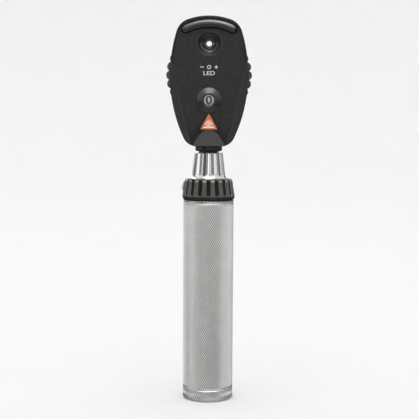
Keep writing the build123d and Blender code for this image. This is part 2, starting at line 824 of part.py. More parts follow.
with BuildPart() as housing_screws:
    with BuildSketch(depth_plane(11.4)):
        with Locations(*SCREWS):
            Circle(1.9)
    extrude(amount=1.2)
    with BuildSketch(depth_plane(10.2)):
        with Locations(*SCREWS):
            Circle(1.0)
    extrude(amount=10.2 + 5.5)
    with BuildSketch(depth_plane(11.4)):
        with Locations(*SCREWS):
            Rectangle(2.6, 0.5)
            Rectangle(0.5, 2.6)
    extrude(amount=0.6, mode=Mode.SUBTRACT)
housing_screws.part.label = "housing_screws"
export_step(housing_screws.part, "parts/housing_screws.step")

# --- Pieces on the examiner's face --------------------------------------------------

PANEL_Y = FACE_Y - PANEL_T
with BuildPart() as brow_rest:
    add(brow_slot(PANEL_Y - 2.0, PANEL_Y + 1.1, BROW_W))
    chamfer(brow_rest.faces().sort_by(Axis.Y)[0].edges(), 1.35)
    fillet(brow_rest.faces().sort_by(Axis.Y)[0].edges(), 0.6)
brow_rest.part.label = "brow_rest"
export_step(brow_rest.part, "parts/brow_rest.step")

EYELET_R = 3.0
with BuildPart() as sight_bezel:
    add(
        turned(
            [
                (BEZEL_R, PANEL_Y),
                (BEZEL_R, -6.9),
                (4.6, -5.8),
                (EYELET_R, -5.8),
                (EYELET_R, -6.3),
                (3.5, -6.3),
                (4.75, -7.3),
                (5.1, -7.3),
                (5.3, -7.7),
                (6.95, PANEL_Y),
            ],
            SIGHT_Z,
            ALONG_Y,
        )
    )
sight_bezel.part.label = "sight_bezel"
export_step(sight_bezel.part, "parts/sight_bezel.step")

with BuildPart() as sight_ring:
    add(
        turned(
            [(4.75, -7.3), (5.1, -7.3), (5.1, -7.5), (4.95, -7.6), (4.75, -7.5)],
            SIGHT_Z,
            ALONG_Y,
        )
    )
sight_ring.part.label = "sight_ring"
export_step(sight_ring.part, "parts/sight_ring.step")

with BuildPart() as sight_eyelet:
    add(
        turned(
            [
                (2.5, -5.6),
                (EYELET_R, -5.6),
                (EYELET_R, -6.3),
                (3.45, -6.3),
                (3.3, -6.65),
                (2.95, -6.8),
                (2.65, -6.65),
            ],
            SIGHT_Z,
            ALONG_Y,
        )
    )
sight_eyelet.part.label = "sight_eyelet"
export_step(sight_eyelet.part, "parts/sight_eyelet.step")

with BuildPart() as display_bezel:
    add(
        turned(
            [
                (BEZEL_R, PANEL_Y),
                (BEZEL_R, PANEL_Y - 0.3),
                (4.1, PANEL_Y - 2.5),
                (3.7, PANEL_Y - 2.6),
                (3.25, PANEL_Y - 2.3),
                (3.25, PANEL_Y - 1.0),
                (2.9, PANEL_Y - 1.0),
                (2.9, CAVITY_FACE_Y + 0.6),
                (3.6, CAVITY_FACE_Y + 0.6),
                (3.6, PANEL_Y),
            ],
            DISPLAY_Z,
            ALONG_Y,
        )
    )
display_bezel.part.label = "display_bezel"
export_step(display_bezel.part, "parts/display_bezel.step")

with BuildPart() as display_lens:
    with BuildSketch(Plane.XY.offset(DISPLAY_Z)):
        with BuildLine():
            Polyline((0, PANEL_Y - 1.0), (3.2, PANEL_Y - 1.0), (3.2, PANEL_Y - 1.5))
            middle_r, middle_h = dome_middle(3.2, 0.75)
            ThreePointArc(
                (3.2, PANEL_Y - 1.5), (middle_r, PANEL_Y - 1.5 - middle_h), (0, PANEL_Y - 2.25)
            )
            Line((0, PANEL_Y - 2.25), (0, PANEL_Y - 1.0))
        make_face()
    revolve(axis=Axis((0, 0, DISPLAY_Z), ALONG_Y))
display_lens.part.label = "display_lens"
export_step(display_lens.part, "parts/display_lens.step")

BADGE_FOOT = 161.7
BADGE_TOP = 171.1
BADGE_W = 9.9
with BuildPart() as badge:
    with BuildSketch(depth_plane(PANEL_Y)) as badge_outline:
        with BuildLine():
            Polyline(
                (-BADGE_W / 2, BADGE_FOOT), (BADGE_W / 2, BADGE_FOOT), (0, BADGE_TOP), close=True
            )
        make_face()
        fillet(badge_outline.vertices(), 0.35)
    extrude(amount=0.4)
badge.part.label = "badge"
export_step(badge.part, "parts/badge.step")

# --- Chassis, axle and lens wheel ---------------------------------------------------

PLATE_REAR_Y = 0.2
PLATE_FRONT_Y = 1.4
DETENT_X = -12.0
AXLE_R = 1.5
with BuildPart() as chassis_plate:
    add(above_foot(head_slab(PLATE_REAR_Y, PLATE_FRONT_Y, WALL + 0.3)))
    with BuildSketch(depth_plane(PLATE_FRONT_Y + 1)):
        with Locations((0, SIGHT_Z)):
            Circle(3.7)
        with Locations((0, WHEEL_Z)):
            Circle(AXLE_R)
        with Locations(*SCREWS):
            Circle(2.7)
        with Locations((-16, WHEEL_Z), (16, WHEEL_Z)):
            Circle(0.8)
        with Locations((DETENT_X, WHEEL_Z)):
            Circle(1.0)
        with Locations((0, 157.0)):
            Circle(4.0)
    extrude(amount=4, mode=Mode.SUBTRACT)
chassis_plate.part.label = "chassis_plate"
export_step(chassis_plate.part, "parts/chassis_plate.step")

with BuildPart() as chassis_screws:
    with BuildSketch(depth_plane(PLATE_REAR_Y)):
        with Locations((-16, WHEEL_Z), (16, WHEEL_Z)):
            Circle(1.7)
    extrude(amount=0.5)
    with BuildSketch(depth_plane(5.6)):
        with Locations((-16, WHEEL_Z), (16, WHEEL_Z)):
            Circle(0.8)
    extrude(amount=5.6 - PLATE_REAR_Y)
chassis_screws.part.label = "chassis_screws"
export_step(chassis_screws.part, "parts/chassis_screws.step")

with BuildPart() as wheel_axle:
    add(
        turned(
            [
                (0, -6.5),
                (2.6, -6.5),
                (2.6, -5.8),
                (AXLE_R, -5.8),
                (AXLE_R, 1.6),
                (0, 1.6),
            ],
            WHEEL_Z,
            ALONG_Y,
        )
    )
wheel_axle.part.label = "wheel_axle"
export_step(wheel_axle.part, "parts/wheel_axle.step")

with BuildPart() as axle_washer:
    add(turned([(AXLE_R, -0.8), (3.4, -0.8), (3.4, PLATE_REAR_Y), (AXLE_R, PLATE_REAR_Y)],
               WHEEL_Z, ALONG_Y))
axle_washer.part.label = "axle_washer"
export_step(axle_washer.part, "parts/axle_washer.step")

LOBE_R = 3.0
STATION_STEP = 360 / WHEEL_STATIONS
with BuildPart() as lens_wheel:
    with BuildSketch(depth_plane(WHEEL_FRONT_Y)):
        with Locations((0, WHEEL_Z)):
            Circle(WHEEL_R - LOBE_R)
            with PolarLocations(WHEEL_R - LOBE_R, WHEEL_LOBES):
                Circle(LOBE_R)
            Circle(AXLE_R + FIT, mode=Mode.SUBTRACT)
            with PolarLocations(LENS_PITCH_R, WHEEL_STATIONS - 1, 90 + STATION_STEP,
                                360 - 2 * STATION_STEP, endpoint=True):
                Circle(1.75, mode=Mode.SUBTRACT)
            with PolarLocations(LENS_PITCH_R, 1, 90):
                Circle(1.6, mode=Mode.SUBTRACT)
    extrude(amount=WHEEL_FRONT_Y - WHEEL_REAR_Y)
    # a shallow relief on the front face between hub and lens ring
    with BuildSketch(depth_plane(WHEEL_FRONT_Y)):
        with Locations((0, WHEEL_Z)):
            Circle(15.6)
            Circle(4.2, mode=Mode.SUBTRACT)
    extrude(amount=1.4, mode=Mode.SUBTRACT)
    with BuildSketch(depth_plane(WHEEL_FRONT_Y - 1.4)):
        with Locations((0, WHEEL_Z)):
            with PolarLocations(12.0, WHEEL_STATIONS):
                Circle(0.7)
    extrude(amount=0.5, mode=Mode.SUBTRACT)
lens_wheel.part.label = "lens_wheel"
export_step(lens_wheel.part, "parts/lens_wheel.step")

with BuildPart() as wheel_lenses:
    with BuildSketch(depth_plane(-2.4)):
        with Locations((0, WHEEL_Z)):
            with PolarLocations(LENS_PITCH_R, WHEEL_STATIONS - 1, 90 + STATION_STEP,
                                360 - 2 * STATION_STEP, endpoint=True):
                Circle(1.75)
    extrude(amount=1.1)
wheel_lenses.part.label = "wheel_lenses"
export_step(wheel_lenses.part, "parts/wheel_lenses.step")

with BuildPart() as dioptre_dial:
    with BuildSketch(depth_plane(WHEEL_REAR_Y)):
        with Locations((0, WHEEL_Z)):
            Circle(15.9)
            Circle(4.0, mode=Mode.SUBTRACT)
    extrude(amount=0.4)
dioptre_dial.part.label = "dioptre_dial"
export_step(dioptre_dial.part, "parts/dioptre_dial.step")

with BuildPart() as detent_ball:
    with Locations((DETENT_X, 0.25, WHEEL_Z)):
        Sphere(0.95)
detent_ball.part.label = "detent_ball"
export_step(detent_ball.part, "parts/detent_ball.step")

with BuildPart() as detent_spring:
    with Locations((DETENT_X, PLATE_FRONT_Y, WHEEL_Z + 1.6)):
        Box(2.6, 0.25, 14.0, align=(Align.CENTER, Align.MIN, Align.MAX))
    with BuildSketch(depth_plane(PLATE_FRONT_Y + 0.75)):
        with Locations((DETENT_X, WHEEL_Z - 10.6)):
            Circle(0.95)
    extrude(amount=0.5)
detent_spring.part.label = "detent_spring"
export_step(detent_spring.part, "parts/detent_spring.step")

# --- Lamp, beam optics and mirror ---------------------------------------------------

BEAM = (0, BEAM_Y)
HOLDER_TOP = 162.5
with BuildPart() as lamp_holder:
    with Locations((0, PLATE_FRONT_Y, 157.6)):
        Box(12, 8.2, HOLDER_TOP - 157.6, align=(Align.CENTER, Align.MIN, Align.MIN))
    with BuildSketch(Plane.XY.offset(150)):
        with Locations(BEAM):
            Circle(1.3)
    extrude(amount=20, mode=Mode.SUBTRACT)
lamp_holder.part.label = "lamp_holder"
export_step(lamp_holder.part, "parts/lamp_holder.step")

with BuildPart() as lamp_contact:
    with Locations((0, -1.2, 157.0)):
        Box(2.4, BEAM_Y + 2.4, 0.4, align=(Align.CENTER, Align.MIN, Align.MIN))
    with BuildSketch(Plane.XY.offset(157.2)):
        with Locations(BEAM):
            Circle(0.6)
    extrude(amount=HOLDER_TOP - 157.2)
lamp_contact.part.label = "lamp_contact"
export_step(lamp_contact.part, "parts/lamp_contact.step")

with BuildPart() as led_board:
    with BuildSketch(Plane.XY.offset(HOLDER_TOP)):
        with Locations(BEAM):
            Circle(2.95)
    extrude(amount=0.8)
led_board.part.label = "led_board"
export_step(led_board.part, "parts/led_board.step")

with BuildPart() as led_lamp:
    with BuildSketch(Plane.XY.offset(HOLDER_TOP + 0.8)):
        with Locations(BEAM):
            Rectangle(2.8, 2.8)
    extrude(amount=0.6)
    with Locations((0, BEAM_Y, HOLDER_TOP + 1.4)):
        Sphere(1.1, arc_size1=0)
led_lamp.part.label = "led_lamp"
export_step(led_lamp.part, "parts/led_lamp.step")

BEAM_TUBE_R = 3.6
BEAM_BORE_R = 3.0
LOWER_PLATE = (169.2, 170.4)
UPPER_PLATE = (175.2, 176.4)
with BuildPart() as condenser_tube:
    with BuildSketch(Plane.XY.offset(HOLDER_TOP)):
        with Locations(BEAM):
            Circle(BEAM_TUBE_R)
            Circle(BEAM_BORE_R, mode=Mode.SUBTRACT)
    extrude(amount=LOWER_PLATE[1] - HOLDER_TOP)
condenser_tube.part.label = "condenser_tube"
export_step(condenser_tube.part, "parts/condenser_tube.step")


def beam_lens(foot, edge, crown):
    """Plano-convex lens across the beam, flat side down."""
    with BuildPart() as lens:
        plane = Plane(origin=(0, BEAM_Y, foot), x_dir=(1, 0, 0), z_dir=(0, -1, 0))
        with BuildSketch(plane):
            with BuildLine():
                Polyline((0, 0), (BEAM_BORE_R, 0), (BEAM_BORE_R, edge))
                RadiusArc((BEAM_BORE_R, edge), (0, edge + crown),
                          -(BEAM_BORE_R**2 + crown**2) / (2 * crown))
                Line((0, edge + crown), (0, 0))
            make_face()
        revolve(axis=Axis((0, BEAM_Y, 0), (0, 0, 1)))
    return lens.part


with BuildPart() as condenser_lens:
    add(beam_lens(166.4, 1.0, 1.1))
condenser_lens.part.label = "condenser_lens"
export_step(condenser_lens.part, "parts/condenser_lens.step")

with BuildPart() as aperture_frame:
    for foot, top in (LOWER_PLATE, UPPER_PLATE):
        with BuildSketch(Plane.XY.offset(foot)):
            with Locations((0, PLATE_FRONT_Y)):
                Rectangle(9.0, 11.2, align=(Align.CENTER, Align.MIN))
            with Locations(BEAM):
                Circle(BEAM_TUBE_R, mode=Mode.SUBTRACT)
        extrude(amount=top - foot)
    with Locations((0, PLATE_FRONT_Y, LOWER_PLATE[0])):
        Box(9.0, 0.3, UPPER_PLATE[1] - LOWER_PLATE[0], align=(Align.CENTER, Align.MIN, Align.MIN))
    with BuildSketch(Plane.XY.offset(160)):
        with Locations((0, APERTURE_Y)):
            Circle(1.0)
    extrude(amount=20, mode=Mode.SUBTRACT)
aperture_frame.part.label = "aperture_frame"
export_step(aperture_frame.part, "parts/aperture_frame.step")

with BuildPart() as aperture_axle:
    with BuildSketch(Plane.XY.offset(LOWER_PLATE[0])):
        with Locations((0, APERTURE_Y)):
            Circle(1.0)
    extrude(amount=UPPER_PLATE[1] - LOWER_PLATE[0])
aperture_axle.part.label = "aperture_axle"
export_step(aperture_axle.part, "parts/aperture_axle.step")

APERTURES = (1.9, 1.4, 0.9, 1.9, 1.9, 1.9)
THUMB_Z = 171.0
with BuildPart() as aperture_wheel:
    with BuildSketch(Plane.XY.offset(THUMB_Z)):
        with Locations((0, APERTURE_Y)):
            Circle(APERTURE_R)
            with PolarLocations(APERTURE_R + 0.35, 24):
                Circle(0.7, mode=Mode.SUBTRACT)
            Circle(1.0 + FIT, mode=Mode.SUBTRACT)
    extrude(amount=3.5)
    with BuildSketch(Plane.XY.offset(THUMB_Z + 1.3)):
        with Locations((0, APERTURE_Y)):
            Circle(7.0)
            Circle(1.9, mode=Mode.SUBTRACT)
    extrude(amount=4, mode=Mode.SUBTRACT)
    with BuildSketch(Plane.XY.offset(THUMB_Z)):
        for index, hole_r in enumerate(APERTURES):
            bearing = radians(-90 + 60 * index)
            spot = (APERTURE_PITCH_R * cos(bearing), APERTURE_Y + APERTURE_PITCH_R * sin(bearing))
            with Locations(spot):
                Circle(hole_r)
    extrude(amount=4, mode=Mode.SUBTRACT)
aperture_wheel.part.label = "aperture_wheel"
export_step(aperture_wheel.part, "parts/aperture_wheel.step")

with BuildPart() as filter_glass:
    with BuildSketch(Plane.XY.offset(THUMB_Z + 0.2)):
        for index in (3, 4):
            bearing = radians(-90 + 60 * index)
            spot = (APERTURE_PITCH_R * cos(bearing), APERTURE_Y + APERTURE_PITCH_R * sin(bearing))
            with Locations(spot):
                Circle(1.9)
    extrude(amount=0.9)
filter_glass.part.label = "filter_glass"
export_step(filter_glass.part, "parts/filter_glass.step")

TUBE_HEAD = 198.6
with BuildPart() as objective_tube:
    with BuildSketch(Plane.XY.offset(UPPER_PLATE[0])):
        with Locations(BEAM):
            Circle(BEAM_TUBE_R)
    extrude(amount=TUBE_HEAD - UPPER_PLATE[0])
    with Locations((0, PLATE_FRONT_Y, 178.0)):
        Box(6.0, 3.0, 18.0, align=(Align.CENTER, Align.MIN, Align.MIN))
    with BuildSketch(Plane.XY.offset(UPPER_PLATE[0])):
        with Locations(BEAM):
            Circle(BEAM_BORE_R)
    extrude(amount=30, mode=Mode.SUBTRACT)
    # room for the riveted end of the wheel axle
    with BuildSketch(depth_plane(1.7)):
        with Locations((0, WHEEL_Z)):
            Circle(AXLE_R + 0.1)
    extrude(amount=1, mode=Mode.SUBTRACT)
objective_tube.part.label = "objective_tube"
export_step(objective_tube.part, "parts/objective_tube.step")

with BuildPart() as objective_lens:
    add(beam_lens(186.5, 1.2, 0.8))
objective_lens.part.label = "objective_lens"
export_step(objective_lens.part, "parts/objective_lens.step")

MIRROR_T = 0.8
with BuildPart() as mirror_glass:
    mirror_normal = Vector(0, 1, -1).normalized()
    mirror_plane = Plane(origin=(0, BEAM_Y, MIRROR_Z), x_dir=(1, 0, 0), z_dir=mirror_normal)
    with BuildSketch(mirror_plane.offset(-MIRROR_T)):
        Rectangle(6.4, 7.6)
    extrude(amount=MIRROR_T)
mirror_glass.part.label = "mirror"
export_step(mirror_glass.part, "parts/mirror.step")

with BuildPart() as mirror_mount:
    back_drop = MIRROR_Z - BEAM_Y + MIRROR_T * sqrt(2)
    mount_top = 207.6
    with BuildSketch(Plane.YZ.offset(-4.0)):
        with BuildLine():
            Polyline(
                (PLATE_FRONT_Y, PLATE_FRONT_Y + back_drop),
                (mount_top - back_drop, mount_top),
                (PLATE_FRONT_Y, mount_top),
                close=True,
            )
        make_face()
    extrude(amount=8.0)
mirror_mount.part.label = "mirror_mount"
export_step(mirror_mount.part, "parts/mirror_mount.step")

with BuildPart() as front_window:
    with BuildSketch(depth_plane(FAIRING_IN_Y - 0.2)):
        with Locations((0, (WINDOW_FOOT + WINDOW_TOP) / 2)):
            RectangleRounded(WINDOW_W + 1.0, WINDOW_TOP - WINDOW_FOOT + 1.0, 1.5)
    extrude(amount=-1.2)
front_window.part.label = "front_window"
export_step(front_window.part, "parts/front_window.step")

with BuildPart() as sight_tube:
    add(
        turned(
            [
                (3.1, 0.3),
                (3.7, 0.3),
                (3.7, FAIRING_Y - 0.5),
                (3.3, FAIRING_Y - 0.5),
                (3.1, FAIRING_Y - 0.9),
            ],
            SIGHT_Z,
            ALONG_Y,
        )
    )
sight_tube.part.label = "sight_tube"
export_step(sight_tube.part, "parts/sight_tube.step")
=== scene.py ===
"""Looks of the ophthalmoscope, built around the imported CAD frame. Blender 4.5, metres."""

import math

import bmesh
import bpy
from mathutils import Euler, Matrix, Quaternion, Vector


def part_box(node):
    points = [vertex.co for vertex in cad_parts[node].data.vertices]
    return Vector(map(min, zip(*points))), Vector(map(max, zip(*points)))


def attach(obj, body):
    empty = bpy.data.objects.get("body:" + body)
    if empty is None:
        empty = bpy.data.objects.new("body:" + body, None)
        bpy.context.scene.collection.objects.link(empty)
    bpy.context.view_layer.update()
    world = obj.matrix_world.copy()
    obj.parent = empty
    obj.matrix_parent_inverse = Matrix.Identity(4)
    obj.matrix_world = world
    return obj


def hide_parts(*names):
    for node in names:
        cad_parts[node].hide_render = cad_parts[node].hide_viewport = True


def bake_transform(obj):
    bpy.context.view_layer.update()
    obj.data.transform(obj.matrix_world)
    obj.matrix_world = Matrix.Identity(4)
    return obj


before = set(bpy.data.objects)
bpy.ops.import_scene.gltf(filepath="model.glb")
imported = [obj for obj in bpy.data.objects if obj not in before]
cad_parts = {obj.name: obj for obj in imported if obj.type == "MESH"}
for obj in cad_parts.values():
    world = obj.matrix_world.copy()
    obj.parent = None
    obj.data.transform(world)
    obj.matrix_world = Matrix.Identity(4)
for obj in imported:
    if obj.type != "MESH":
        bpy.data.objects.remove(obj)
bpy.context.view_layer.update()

MM = 0.001
TURN = 2 * math.pi


# --- Node helpers -------------------------------------------------------------------


def new_material(name):
    """A node material, its tree and its Principled shader."""
    mat = bpy.data.materials.new(name)
    mat.use_nodes = True
    tree = mat.node_tree
    tree.nodes.clear()
    out = tree.nodes.new("ShaderNodeOutputMaterial")
    shader = tree.nodes.new("ShaderNodeBsdfPrincipled")
    tree.links.new(shader.outputs["BSDF"], out.inputs["Surface"])
    return mat, tree, shader


def noise(tree, scale, detail=3.0, roughness=0.55, stretch=(1, 1, 1)):
    """Noise in object space, with its size given per metre."""
    coords = tree.nodes.new("ShaderNodeTexCoord")
    mapping = tree.nodes.new("ShaderNodeMapping")
    mapping.inputs["Scale"].default_value = stretch
    tex = tree.nodes.new("ShaderNodeTexNoise")
    tex.inputs["Scale"].default_value = scale
    tex.inputs["Detail"].default_value = detail
    tex.inputs["Roughness"].default_value = roughness
    tree.links.new(coords.outputs["Object"], mapping.inputs["Vector"])
    tree.links.new(mapping.outputs["Vector"], tex.inputs["Vector"])
    return tex.outputs["Fac"]


def ramp(tree, value, low, high, from_low=0.3, from_high=0.7):
    """Maps one range of a value on to another; the default suits the spread of noise."""
    node = tree.nodes.new("ShaderNodeMapRange")
    node.inputs["From Min"].default_value = from_low
    node.inputs["From Max"].default_value = from_high
    node.inputs["To Min"].default_value = low
    node.inputs["To Max"].default_value = high
    tree.links.new(value, node.inputs["Value"])
    return node.outputs["Result"]


def blend_colours(tree, value, first, second):
    """Colour between two tones, steered by a value."""
    node = tree.nodes.new("ShaderNodeMix")
    node.data_type = "RGBA"
    node.inputs["A"].default_value = (*first, 1)
    node.inputs["B"].default_value = (*second, 1)
    tree.links.new(value, node.inputs["Factor"])
    return node.outputs["Result"]


def tinted(tree, colour, mask, tone):
    """A colour that gives way to a tone where the mask is 1."""
    mix = tree.nodes.new("ShaderNodeMix")
    mix.data_type = "RGBA"
    mix.inputs["B"].default_value = (*tone, 1)
    tree.links.new(mask, mix.inputs["Factor"])
    tree.links.new(colour, mix.inputs["A"])
    return mix.outputs["Result"]


def multiplied(tree, first, second):
    """Product of two values."""
    node = tree.nodes.new("ShaderNodeMath")
    node.operation = "MULTIPLY"
    tree.links.new(first, node.inputs[0])
    tree.links.new(second, node.inputs[1])
    return node.outputs[0]


def between(tree, value, low, high, soft):
    """1 while a value lies between two limits, 0 outside."""
    rising = ramp(tree, value, 0, 1, low, low + soft)
    falling = ramp(tree, value, 1, 0, high - soft, high)
    return multiplied(tree, rising, falling)


def bump(tree, shader, height, distance, strength=1.0):
    """Bump of that depth in metres on the shader."""
    node = tree.nodes.new("ShaderNodeBump")
    node.inputs["Strength"].default_value = strength
    node.inputs["Distance"].default_value = distance
    tree.links.new(height, node.inputs["Height"])
    tree.links.new(node.outputs["Normal"], shader.inputs["Normal"])


def edge_wear(tree, amount):
    """0 on flats and up to amount on outward edges, broken up by noise."""
    geometry = tree.nodes.new("ShaderNodeNewGeometry")
    worn = ramp(tree, geometry.outputs["Pointiness"], 0, amount, 0.52, 0.5367)
    return multiplied(tree, worn, ramp(tree, noise(tree, 900), 0.2, 1))


def metal(
    name, tone, rough, grain=0.05, grain_scale=2500, stretch=(1, 1, 1), depth=2e-6, edge=1.0
):
    """Metal whose tone and gloss drift slightly, over a fine grain."""
    mat, tree, shader = new_material(name)
    shader.inputs["Metallic"].default_value = 1.0
    shader.inputs["Specular Tint"].default_value = (edge, edge, edge, 1)
    drift = noise(tree, 120, 2.0)
    darker = tuple(c * 0.93 for c in tone)
    colour = blend_colours(tree, ramp(tree, drift, 0, 1), darker, tone)
    tree.links.new(colour, shader.inputs["Base Color"])
    fine = noise(tree, grain_scale, 2.0, stretch=stretch)
    tree.links.new(ramp(tree, fine, rough - grain, rough + grain), shader.inputs["Roughness"])
    bump(tree, shader, fine, depth, 0.6)
    return mat


def plastic(
    name, tone, rough, texture_scale=4500, depth=1.5e-5, worn=None, drift=0.12, shine=0.5
):
    """Moulded plastic or rubber with a spark-eroded texture and rubbed edges."""
    mat, tree, shader = new_material(name)
    patches = noise(tree, 90, 3.0)
    low = tuple(c * (1 - drift) for c in tone)
    high = tuple(c * (1 + drift) for c in tone)
    colour = blend_colours(tree, ramp(tree, patches, 0, 1), low, high)
    if worn:
        colour = tinted(tree, colour, edge_wear(tree, 0.55), worn)
    tree.links.new(colour, shader.inputs["Base Color"])
    fine = noise(tree, texture_scale, 3.0, 0.6)
    tree.links.new(ramp(tree, fine, rough - 0.06, rough + 0.06), shader.inputs["Roughness"])
    shader.inputs["Specular IOR Level"].default_value = shine
    bump(tree, shader, fine, depth, 0.5)
    return mat


def glass(name, tint, rough=0.02):
    """Clear or tinted glass with a trace of coating variation."""
    mat, tree, shader = new_material(name)
    film = noise(tree, 300, 2.0)
    paler = tuple(0.5 + 0.5 * c for c in tint)
    colour = blend_colours(tree, ramp(tree, film, 0, 1), tint, paler)
    tree.links.new(colour, shader.inputs["Base Color"])
    shader.inputs["Transmission Weight"].default_value = 1.0
    shader.inputs["Roughness"].default_value = rough
    shader.inputs["IOR"].default_value = 1.5
    return mat


def head_plastic(name):
    """Finely textured black of both housings."""
    tone = (0.0055, 0.0055, 0.0053)
    return plastic(name, tone, 0.42, 3200, 2.4e-5, (0.03, 0.03, 0.03), shine=0.25)


# --- Materials ----------------------------------------------------------------------

MATERIALS = {
    "steel": metal("steel", (0.62, 0.62, 0.61), 0.24, 0.05, 2000, (1, 1, 6)),
    "dark_steel": metal("dark_steel", (0.15, 0.148, 0.145), 0.2, 0.04, 2000),
    "wire": metal("wire", (0.5, 0.5, 0.5), 0.3, 0.05, 2000),
    "brass": metal("brass", (0.72, 0.52, 0.22), 0.25, 0.05, 1800),
    "nickel": metal("nickel", (0.7, 0.67, 0.6), 0.2, 0.04, 1800),
    "aluminium": metal("aluminium", (0.7, 0.7, 0.71), 0.35, 0.06, 2500),
    "head_plastic": head_plastic("head_plastic"),
    "black_metal": plastic(
        "black_metal", (0.004, 0.004, 0.0042), 0.16, 5000, 1e-6, (0.02, 0.02, 0.02)
    ),
    "brow_rubber": plastic("brow_rubber", (0.01, 0.01, 0.01), 0.25, 2600, 2e-6, shine=0.45),
    "bezel_plastic": plastic("bezel_plastic", (0.013, 0.013, 0.013), 0.38, 3600, 8e-6, shine=0.5),
    "seal_rubber": plastic("seal_rubber", (0.008, 0.008, 0.008), 0.6, 4000, 6e-6, shine=0.3),
    "wheel_plastic": plastic(
        "wheel_plastic", (0.005, 0.005, 0.005), 0.24, 4000, 3e-6, (0.03, 0.03, 0.03)
    ),
    "button_plastic": plastic("button_plastic", (0.5, 0.5, 0.5), 0.4, 3500, 4e-6),
    "badge_print": plastic("badge_print", (0.50, 0.135, 0.035), 0.35, 3000, 1e-6, drift=0.06),
    "badge_mark": plastic("badge_mark", (0.80, 0.62, 0.55), 0.4, 3000, 1e-6, drift=0.05),
    "face_print": plastic("face_print", (0.62, 0.62, 0.62), 0.5, 3000, 1e-6, drift=0.05),
    "insulator": plastic("insulator", (0.72, 0.68, 0.6), 0.5, 3000, 6e-6),
    "cell_jacket": plastic("cell_jacket", (0.05, 0.09, 0.16), 0.3, 2000, 1e-6),
    "dial_face": plastic("dial_face", (0.80, 0.80, 0.78), 0.5, 4000, 1e-6, drift=0.03),
    "dial_ink": plastic("dial_ink", (0.02, 0.02, 0.02), 0.5, 4000, 1e-6, drift=0.03),
    "board": plastic("board", (0.02, 0.12, 0.05), 0.35, 2500, 2e-6),
    "lens": glass("lens", (0.94, 0.97, 0.98)),
    "filter": glass("filter", (0.25, 0.65, 0.4)),
}


def mirror_material():
    """Silvered glass of the beam mirror."""
    mat, tree, shader = new_material("mirror_silver")
    shader.inputs["Metallic"].default_value = 1.0
    tone = blend_colours(tree, noise(tree, 200), (0.9, 0.9, 0.9), (0.95, 0.95, 0.95))
    tree.links.new(tone, shader.inputs["Base Color"])
    shader.inputs["Roughness"].default_value = 0.02
    return mat


def below_surface(tree, taper, surface, depth):
    """0 on a cone about Z and up to 1 at a depth under it; lengths are in metres.

    The taper is the radius the cone loses for each unit of height, and the surface is
    its radius at height zero.
    """
    coords = tree.nodes.new("ShaderNodeTexCoord")
    split = tree.nodes.new("ShaderNodeSeparateXYZ")
    tree.links.new(coords.outputs["Object"], split.inputs[0])
    flat = tree.nodes.new("ShaderNodeCombineXYZ")
    tree.links.new(split.outputs["X"], flat.inputs["X"])
    tree.links.new(split.outputs["Y"], flat.inputs["Y"])
    reach = tree.nodes.new("ShaderNodeVectorMath")
    reach.operation = "LENGTH"
    tree.links.new(flat.outputs[0], reach.inputs[0])
    level = tree.nodes.new("ShaderNodeMath")
    level.operation = "MULTIPLY_ADD"
    level.inputs[1].default_value = taper
    tree.links.new(split.outputs["Z"], level.inputs[0])
    tree.links.new(reach.outputs["Value"], level.inputs[2])
    hollow = ramp(tree, level.outputs[0], 1, 0, surface - depth, surface)
    return hollow, split.outputs["Z"]


def tint_hollows(mat, taper, surface, depth, share):
    """Paints shade into a material: darkens it to that share of its tone as the surface drops below
    a cone.
    """
    tree = mat.node_tree
    shader = tree.nodes["Principled BSDF"]
    plain = shader.inputs["Base Color"].links[0].from_socket
    hollow, _ = below_surface(tree, taper, surface, depth)
    mix = tree.nodes.new("ShaderNodeMix")
    mix.data_type = "RGBA"
    mix.blend_type = "MULTIPLY"
    mix.inputs["Factor"].default_value = 1.0
    tree.links.new(plain, mix.inputs["A"])
    tree.links.new(blend_colours(tree, hollow, (1, 1, 1), (share,) * 3), mix.inputs["B"])
    tree.links.new(mix.outputs["Result"], shader.inputs["Base Color"])
    return mat


